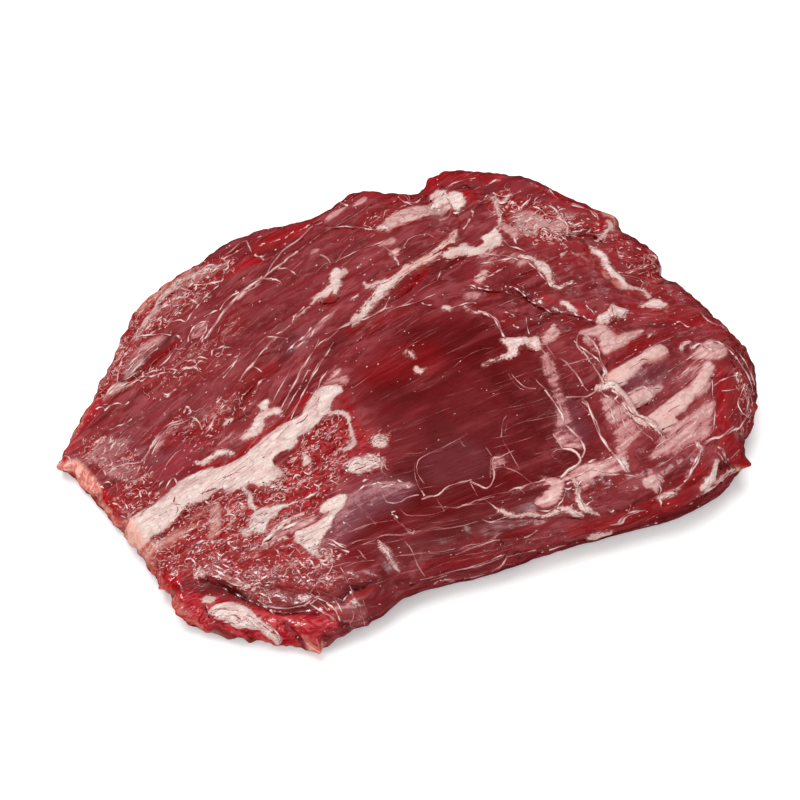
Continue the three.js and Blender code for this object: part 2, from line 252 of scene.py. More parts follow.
# Thin pale film over the muscle: outlines with softness and strength
VEILS = traced("""
strip film (5, 0.6): 655 449, 662 436, 680 420, 700 405, 713 398, 716 415, 712 432, 700 440, 682 452,
    664 458
film by the strips (6, 0.4): 664 390, 676 372, 690 360, 700 356, 704 366, 694 380, 680 392
flesh strip (3, 0.75): 211 500, 220 503, 222 516, 221 528, 216 538, 207 540, 209 528, 208 514
strip beside (2, 0.8): 290 530, 300 524, 312 517, 318 512, 314 521, 302 529, 292 534
low film streaks (5, 0.35): 232 596, 252 590, 275 588, 296 590, 300 598, 280 600, 256 600
blue net (2.5, 0.35): 490 472, 491 461, 499 454, 508 456, 506 464, 499 466, 495 476
lobed film (2.2, 0.6): 189 338, 192 330, 197 323, 204 320, 207 325, 205 332, 199 338
back film streak (2, 0.8): 234 300, 243 290, 252 282, 262 277, 259 284, 249 291, 240 299
groove film (2.5, 0.6): 124 376, 132 364, 142 354, 152 349, 146 358, 136 368, 128 378
tongue (2, 0.75): 101 402, 108 392, 118 386, 130 382, 140 380, 126 387, 112 396
upper seam film (2, 1): 382 226, 388 218, 395 213, 402 211, 412 208, 424 206, 434 200, 444 198, 452 208,
    442 212, 430 214, 418 219, 406 222, 396 226, 388 231
back film (2, 0.7): 352 208, 357 201, 365 197, 368 200, 361 206
back film left (2.5, 0.6): 324 222, 328 214, 338 209, 350 207, 342 212, 332 219
below seam film (2, 0.75): 377 246, 384 240, 392 237, 397 241, 390 247
fleck film (2, 0.8): 388 252, 393 249, 400 248, 398 254, 394 258
seam film low (1.6, 0.9): 361 312, 366 303, 373 296, 377 288, 384 284, 390 290, 383 296, 375 303, 368 311
torn patch (2, 0.95): 513 219, 518 213, 527 210, 534 211, 541 215, 548 221, 556 218, 563 220, 567 226,
    561 232, 553 236, 549 229, 541 229, 536 235, 528 236, 521 233, 516 227
torn patch low (2, 0.75): 499 225, 508 222, 516 226, 519 232, 516 242, 511 236, 504 233
curl side (2, 0.8): 538 346, 542 338, 548 333, 556 328, 560 332, 554 340, 546 344
loop inside (2, 0.5): 582 338, 590 338, 598 346, 600 356, 594 352, 586 346
net left film (5, 0.45): 548 394, 560 396, 566 410, 566 424, 560 418, 553 406
net bag (3, 0.6): 553 430, 566 428, 576 438, 582 450, 572 448, 560 446
glossy patch (2.5, 1): 345 464, 352 458, 362 455, 370 453, 378 457, 385 460, 384 468, 374 469, 366 471,
    357 474, 349 471
first strip (2.2, 1): 603 380, 612 370, 622 365, 632 358, 640 354, 645 348, 652 345, 660 343, 669 351,
    661 358, 649 363, 643 366, 638 373, 630 378, 624 384, 616 388, 606 386
second strip (2.2, 0.92): 624 399, 630 391, 640 387, 650 387, 665 385, 656 394, 643 404, 630 409
third strip (2.4, 1): 642 424, 652 414, 668 401, 686 390, 693 383, 698 375, 704 365, 709 360, 714 366,
    712 375, 702 392, 690 404, 676 416, 660 425, 650 429
third strip foot (2, 0.95): 654 426, 664 419, 673 416, 678 420, 673 426, 663 433
upper left (22, 0.16): 104 430, 130 352, 200 292, 300 238, 380 214, 440 224, 400 268, 345 325, 300 395,
    245 440, 190 458, 150 480, 112 470
left rim (5, 0.58): 126 350, 141 322, 163 303, 183 279, 215 264, 232 260, 215 276, 190 290, 178 308,
    155 325, 141 342
rim tongue (2.5, 0.8): 104 399, 110 388, 120 382, 128 379, 124 387, 114 394
rim flap (4, 0.55): 122 374, 124 362, 136 348, 150 339, 168 336, 160 345, 147 355, 134 366
left end (5, 0.65): 86 458, 96 446, 112 438, 130 440, 128 452, 118 462, 140 464, 134 480, 112 478, 104 470
left strand (3, 0.55): 150 460, 158 440, 172 424, 186 420, 170 434, 160 448
above the band (6, 0.35): 215 446, 230 432, 262 424, 285 408, 272 428, 240 446
band fringe (3, 0.6): 141 556, 148 543, 160 536, 176 528, 186 531, 172 541, 158 549, 150 558
long seam (3, 0.6): 290 352, 300 340, 312 330, 320 320, 332 311, 342 304, 334 316, 322 328, 310 338, 300 348
band head (5, 0.5): 322 386, 328 374, 336 366, 345 372, 348 382, 336 386
top right (6, 0.4): 505 214, 520 206, 545 212, 568 222, 572 236, 560 240, 540 232, 520 240, 508 236
under top seam (4, 0.4): 440 212, 452 214, 450 224, 440 222
curl film (5, 0.45): 480 250, 500 246, 520 254, 540 266, 520 268, 500 262, 486 270, 478 276
middle grey patch (2.5, 0.3): 309 249, 316 247, 323 251, 322 258, 314 263, 309 257
flap corner (1.8, 1): 473 281, 478 276, 482 270, 487 268, 488 274, 485 279, 481 283
pocket film (2, 0.55): 462 303, 470 305, 477 309, 474 314, 467 312, 462 308
flap film (3, 0.5): 465 292, 478 290, 482 296, 470 302, 462 306
upper right (3, 0.8): 579 335, 582 329, 597 324, 610 327, 616 334, 632 331, 642 328, 641 334, 622 346,
    608 354, 601 351, 597 338
strip ends (3, 0.85): 690 358, 696 349, 708 341, 718 342, 727 347, 728 353, 722 359, 712 360, 702 358
between strips (6, 0.35): 622 384, 645 368, 665 362, 690 352, 706 356, 700 372, 684 386, 664 388, 640 386
fourth strip (3, 0.7): 648 458, 654 450, 662 443, 672 436, 692 420, 706 408, 713 406, 712 416, 697 428,
    678 445, 660 457, 652 460
third strip top (4, 0.6): 698 372, 706 358, 715 366, 713 384, 704 396, 696 398
trunk film (5, 0.6): 600 396, 614 398, 632 416, 642 428, 640 438, 628 450, 628 470, 605 474, 584 472,
    586 464, 604 460, 614 450, 612 430, 604 412
net film (4, 0.5): 545 350, 556 366, 562 384, 566 402, 578 428, 584 446, 574 448, 560 440, 554 420, 556 404,
    548 384, 540 362
net band (3, 0.7): 540 476, 556 478, 572 470, 584 464, 612 464, 628 468, 610 475, 596 478, 584 490, 576 480,
    562 482, 548 484
pale lobe (2, 0.85): 560 478, 564 484, 562 492, 560 499, 555 505, 548 508, 541 508, 536 505, 534 501,
    545 493, 550 487, 549 480
net arm (4, 0.4): 508 494, 514 489, 526 484, 545 480, 552 486, 530 490, 518 494
grey patch (2, 0.85): 642 481, 648 476, 655 474, 660 478, 661 484, 659 495, 655 493, 652 489, 645 488
front film (9, 0.45): 300 545, 318 520, 336 500, 356 486, 384 480, 412 482, 400 498, 372 504, 352 520,
    340 545, 322 562, 306 560
front film streak (2.5, 0.6): 360 486, 384 481, 412 482, 412 488, 384 489
thin strip (2, 0.8): 262 541, 272 533, 290 524, 308 518, 300 526, 282 536, 270 543
flesh strip (3, 0.7): 212 538, 212 520, 214 505, 220 496, 219 512, 217 534
fold film (3, 0.55): 204 575, 206 567, 216 566, 228 571, 240 578, 250 584, 238 586, 222 580
fold lip (3, 0.35): 255 590, 264 594, 268 600, 276 606, 266 605, 258 600
fold top (10, 0.08): 262 570, 300 560, 340 566, 372 590, 360 606, 330 606, 290 606, 262 592
corner (6, 0.3): 330 600, 352 590, 368 604, 368 626, 352 634, 338 620
vertical patch (2, 0.8): 378 541, 386 546, 393 557, 400 571, 392 566, 384 554
right edge (5, 0.2): 738 352, 748 370, 756 392, 754 414, 746 432, 740 436, 748 408, 744 380
right film (14, 0.25): 640 372, 690 350, 700 400, 660 440, 640 440, 648 400
net zone (14, 0.12): 500 330, 560 330, 600 380, 600 450, 560 500, 530 500, 540 440, 530 400
""")

# Cut flesh without film: lines with softness and strength
CUTS = traced("""
cut face (4, 1): 62 462 7, 75 480 8, 95 500 9, 112 520 8, 130 545 6, 142 556 7, 155 575 10, 168 594 12,
    184 612 13, 200 626 12
upper rim (4, 0.85): 66 448 6, 74 432 6, 84 412 6, 94 396 5, 104 378 7, 116 352 6, 130 325 6, 145 303 6,
    162 289 5, 176 278 3
lower layer (4, 1): 188 600 10, 215 612 14, 250 622 18, 290 630 18, 330 618 12
flap tip (2, 1): 300 618 4, 308 632 7, 316 642 7
rough cut (10, 0.62): 175 560 20, 205 540 24, 240 525 26, 275 510 26, 305 485 22, 330 455 20, 365 440 10
rough cut front (8, 0.35): 190 570 12, 230 556 20, 270 548 22, 296 552 12
round patch (4, 0.6): 322 432 6, 336 432 12, 344 440 6
""")

# Wet, bright red muscle: lines with softness and strength
WETS = traced("""
band shade (2.5, 0.9): 196 468 2, 215 465 3, 235 460 3, 250 444 3.5, 264 432 3.5, 280 424 2.5, 300 405 2.5,
    309 396 3
wet streak (3, 0.75): 254 250 4, 266 243 6, 280 238 6, 294 232 6, 306 226 4
wet streak low (2.5, 1): 230 275 1.5, 240 268 3, 250 261 4, 262 262 2
rim groove (1.5, 1): 124 381 1.6, 132 376 2.4, 141 368 2.6, 150 359 3.2, 158 354 3, 167 348 2.4, 174 341 1.4
lump shadow (2, 0.8): 320 300 1.5, 328 301 3, 334 298 3.5, 337 303 2
seam pocket (2.5, 0.9): 396 296 1.5, 402 290 4, 408 284 5, 418 275 4, 426 268 2.5
seam red (1.5, 0.6): 432 254 1.2, 440 249 1.6, 450 244 1.4
top cap (5, 0.7): 428 188 5, 434 181 6, 445 176 5, 470 176 4, 500 180 4
top knob (3, 0.7): 466 196 5, 474 198 7, 478 192 5
back rim (5, 0.35): 300 228 4, 340 198 5, 360 193 5, 400 198 4, 422 200 3
far notch (3.5, 0.9): 574 232 4, 588 230 5, 600 226 5, 612 220 5
beside far line (4, 0.7): 588 246 3, 596 256 5, 600 266 5, 605 276 3
far ridge (5, 0.6): 616 284 3, 640 292 4, 655 280 4, 658 272 3
flap side (2.5, 0.45): 574 307 2, 582 311 4, 592 316 2
flap red (2, 0.5): 541 301 1.5, 546 298 3, 550 302 3
flap red start (2, 0.5): 484 290 2, 492 292 3, 500 293 2
pocket red (2, 0.4): 490 316 1.5, 502 321 2.5, 514 321 2.5, 522 316 1.5
pocket red end (2, 0.4): 562 318 2, 574 322 3, 588 325 2
right back (8, 0.4): 626 310 5, 645 312 8, 668 316 8, 700 320 6, 725 332 4
strip valley (4, 0.45): 610 366 3, 630 352 5, 650 340 6, 668 334 4
right end (6, 0.6): 720 372 6, 725 400 8, 722 430 8, 735 452 7, 738 466 5
right low (7, 0.55): 700 470 8, 680 494 10, 650 510 9, 610 522 6, 570 530 4
nub (2, 1): 736 464 3, 742 464 4
muscle by the band (6, 0.6): 344 400 5, 350 415 6, 358 436 5, 368 436 4
centre glow (12, 0.3): 372 372 12, 400 362 14, 430 356 12
corner pocket (3, 0.6): 372 586 3, 362 594 3, 345 598 3
front wet (8, 0.35): 425 568 5, 450 562 6, 480 552 5
front hollow (5, 0.5): 506 540 4, 518 538 6, 530 536 4
cut red (3, 1): 98 489 5, 106 499 6, 117 512 5
low red (4, 1): 158 562 5, 166 572 7, 177 584 6
left groove (4, 0.8): 232 415 3, 246 394 4, 258 378 4, 276 364 3
left hollow (5, 0.7): 166 446 4, 180 434 7, 198 428 6, 214 414 4
left low (6, 0.5): 150 476 5, 170 466 7, 190 452 6
left rim (5, 0.6): 86 420 5, 98 402 6, 112 386 5
seam side (4, 0.4): 352 330 4, 366 322 4, 384 306 3
far corner (6, 0.5): 640 240 6, 652 262 6, 656 276 5
top slope (6, 0.6): 540 186 5, 570 200 6, 600 212 6
""")

# Rough places covered in torn film: lines with softness and strength
CRINKLES = traced("""
cut field (8, 0.8): 165 560 14, 200 540 24, 240 525 28, 280 505 26, 310 480 22, 330 455 14
cut field low (8, 0.55): 200 575 8, 235 562 14, 275 552 18, 310 556 14
round patch (3, 1): 322 430 6, 335 432 14, 342 438 10
band foot (4, 1.2): 142 552 2, 165 534 4, 195 508 5, 235 496 6, 270 488 7, 296 462 8, 322 430 6
glossy patches (3, 0.9): 350 464 6, 368 460 7, 382 463 4
glossy patch two (3, 0.9): 372 440 4, 384 438 6
left rim (6, 0.9): 100 396 6, 130 345 12, 160 308 16, 200 278 14, 228 266 8
left end (8, 0.85): 88 450 10, 110 452 16, 135 476 14, 128 500 14, 150 498 10
left muscle (8, 0.5): 180 428 12, 200 440 10, 225 410 12, 245 395 8
left upper (12, 0.3): 150 380 14, 200 360 20, 230 330 14
top right (7, 0.95): 500 205 12, 530 222 18, 560 228 14, 580 226 8
far right (8, 0.45): 600 232 8, 640 262 14, 650 272 10
back edge (8, 0.4): 370 225 10, 400 210 10
fold film (4, 0.85): 205 572 6, 228 576 8, 250 586 7, 265 596 6
fold top (6, 0.55): 258 574 8, 290 580 13, 318 582 12, 336 580 8
front patch end (4, 0.9): 300 562 6, 320 560 8, 335 555 6
right end (6, 0.6): 740 380 8, 750 410 6, 742 430 6
""")

# Bluish film: outlines with softness and strength. On the front film the bluish tint is a painted
# reflection of the light on smooth film
BLUES = traced("""
front film (10, 0.9): 322 520, 345 496, 372 480, 410 480, 410 496, 384 510, 356 528, 340 548, 326 548
left end (8, 0.7): 100 444, 124 436, 146 452, 150 474, 128 482, 108 470
left muscle (9, 0.45): 146 470, 170 446, 200 440, 196 460, 166 482
long seam (5, 0.4): 280 350, 305 328, 330 314, 322 334, 296 356
between strips (6, 0.6): 622 386, 646 366, 668 360, 672 380, 640 390
oval (8, 0.25): 436 444, 462 438, 486 452, 486 476, 452 484, 430 480, 424 460
net (6, 0.5): 556 402, 578 404, 590 430, 584 448, 568 440, 558 424
""")

# Smooth muscle: outlines with softness and strength
SMOOTHS = traced("""
middle (20, 1): 352 380, 400 330, 470 310, 540 340, 590 400, 600 450, 560 500, 480 540, 400 560, 340 560,
    330 520, 370 480, 380 430
upper left (20, 0.4): 180 380, 230 310, 300 260, 340 250, 300 320, 240 380, 190 420
ledge (5, 0.9): 262 612, 280 614, 306 618, 326 624, 322 640, 300 640, 282 632, 268 622
ledge low (4, 0.7): 190 616, 215 628, 240 636, 270 640, 270 650, 230 645, 195 632
front side (10, 0.6): 400 600, 480 570, 560 550, 700 500, 700 530, 560 580, 440 620
""")

# Torn edges that stand out unevenly: lines with softness and strength
RAGGED = traced("""
cut face (5, 1): 60 462 8, 75 482 10, 95 503 10, 112 524 10, 130 548 10, 150 578 12, 170 605 14, 195 628 12
upper rim (4, 0.5): 64 452 7, 80 420 7, 94 396 7, 112 358 7, 130 325 7, 150 298 6, 176 276 5, 220 250 5,
    270 228 5
ledge (5, 0.9): 190 620 10, 230 634 10, 270 642 10, 312 648 10, 330 634 8
back rim (4, 0.5): 300 222 5, 350 194 5, 420 192 5, 432 180 6, 470 172 5, 530 178 5
far rim (4, 0.5): 560 190 6, 610 214 8, 640 238 7, 662 270 7, 720 322 6, 750 368 6
right end (4, 0.5): 756 400 6, 748 440 6, 742 464 7, 700 500 4
""")

# Creases and steps: lines with their depth in millimetres, where a negative one stands up
CREASES = traced("""
upper seam (1.2): 335 345 5, 372 312 5, 410 280 5, 450 262 4
flap edge (1.1): 468 288 2, 500 291 2.4, 520 293 3, 540 306 3.6, 565 317 4, 594 323 2.6
seam pocket (1.8): 398 294 2, 408 285 4.5, 420 274 3
rim groove (1.6): 124 381 2, 141 368 3, 158 354 3.4, 172 342 2
left groove (1.4): 228 420 3, 245 395 4, 256 380 4, 275 368 4, 290 350 3
left hollow (1.2): 165 448 3, 178 434 6, 196 428 5, 205 420 3
fold mouth (1.7): 206 582 2, 218 585 3, 228 589 3.4, 238 594 3, 248 599 2, 262 606 1.6, 280 612 1.6,
    300 611 2, 318 612 2
fold lip (-0.8): 200 574 3, 215 578 3, 232 584 3, 248 592 3, 264 600 3, 285 605 3, 305 602 3, 322 602 3
corner pocket (1.8): 342 600 3, 350 590 3, 365 588 3.5, 374 582 2
corner ridge (-0.9): 354 600 2, 362 612 2.4, 366 626 2
corner fold (1.2): 334 612 2, 342 622 2.5, 350 630 2
ledge split (2): 283 622 1.5, 292 632 2, 302 644 2
ledge notch (1.6): 246 630 1.5, 252 640 2
ledge groove (1.2): 205 606 2, 210 618 2, 222 626 2
front crease (1.2): 400 583 2, 440 578 2.2, 480 572 2, 505 556 2.4, 520 554 2
front roll (-0.7): 430 556 5, 470 548 5, 498 540 4
front hollow (1.3): 500 542 3, 516 540 6, 530 538 4
lower step (0.8): 520 556 2, 560 548 2, 600 538 2, 640 530 2, 690 508 2, 724 478 2
front line (0.7): 470 528 2, 500 520 2, 540 519 2, 590 518 2
right hollow (0.9): 690 470 4, 676 486 5, 655 500 5
end pocket (2): 724 466 3, 732 466 3
end ridge (-0.7): 700 452 2, 694 470 2, 684 482 2
right rim one (0.9): 716 344 2, 736 356 2, 748 376 2, 754 400 2
right rim two (1): 712 378 1.5, 735 376 1.5
far line (1.3): 586 240 2, 597 254 3, 602 268 3, 612 279 3, 622 290 2.4
far notch (2): 570 236 3, 590 232 4, 600 238 3
top notch (1.4): 422 196 2.5, 432 206 3, 445 215 3
top fold (1): 456 190 3, 470 184 2, 486 190 2
top fold two (1.2): 480 200 2, 486 196 2, 492 190 2
top knob (-1.1): 468 196 5, 476 200 6
lump (-1.4): 332 286 6, 338 276 6
lump shadow (1.5): 322 303 2, 331 301 3.5, 338 297 3
middle lump (-0.9): 508 345 5, 522 343 5, 536 343 4
below flap (0.8): 500 325 3, 520 326 5, 545 324 5
right lump fat (-1): 602 319 4, 612 314 6, 620 312 4
first strip (-0.9): 612 378 5, 635 366 6, 655 352 6
second strip (-0.5): 630 400 5, 648 392 5
third strip (-0.9): 650 422 5, 680 402 7, 704 376 6
strip gap one (0.9): 626 388 2.5, 650 376 4, 680 366 4
strip gap two (0.9): 636 414 3, 655 402 4, 676 390 3
valley by the strips (1.1): 604 370 3, 625 356 4, 650 342 5, 670 334 4
trunk (-0.7): 612 390 3, 628 404 3, 642 420 3, 658 432 2.4
band (-0.5): 135 535 8, 190 488 9, 240 470 10, 290 435 10, 322 400 8
band foot (0.8): 160 535 2, 185 514 2, 210 497 2, 240 492 2, 270 487 2
band top side (0.9): 196 469 2, 235 460 2, 262 434 2.4, 300 411 2, 312 396 2
wet streak (1.2): 252 254 3, 268 250 4, 285 244 4, 300 237 3
back fold (0.9): 318 222 2, 330 226 2, 350 224 2, 372 228 2
cut notch one (1.2): 96 500 4, 100 492 2
cut notch two (1): 120 530 3, 126 522 2
cut notch three (1.6): 168 600 3, 176 590 3
""")

# Places pulled outwards: pixels across and down, reach in pixels, move in millimetres
PULLS = {
    "left tag": (64, 466, 8, (-2.0, -1.5, 0.5)),
    "flap tip": (316, 644, 8, (2.0, -4.5, 0.5)),
    "cut tag": (184, 610, 7, (-3.0, -1.0, 0)),
    "cut tag two": (164, 586, 5, (-2.0, -1.5, 0)),
    "nub": (742, 462, 7, (3.0, -2.0, 1.0)),
    "top cap": (432, 184, 10, (-1.5, 0.5, 1.5)),
    "far knob": (610, 220, 8, (1.5, 1.5, 0)),
}

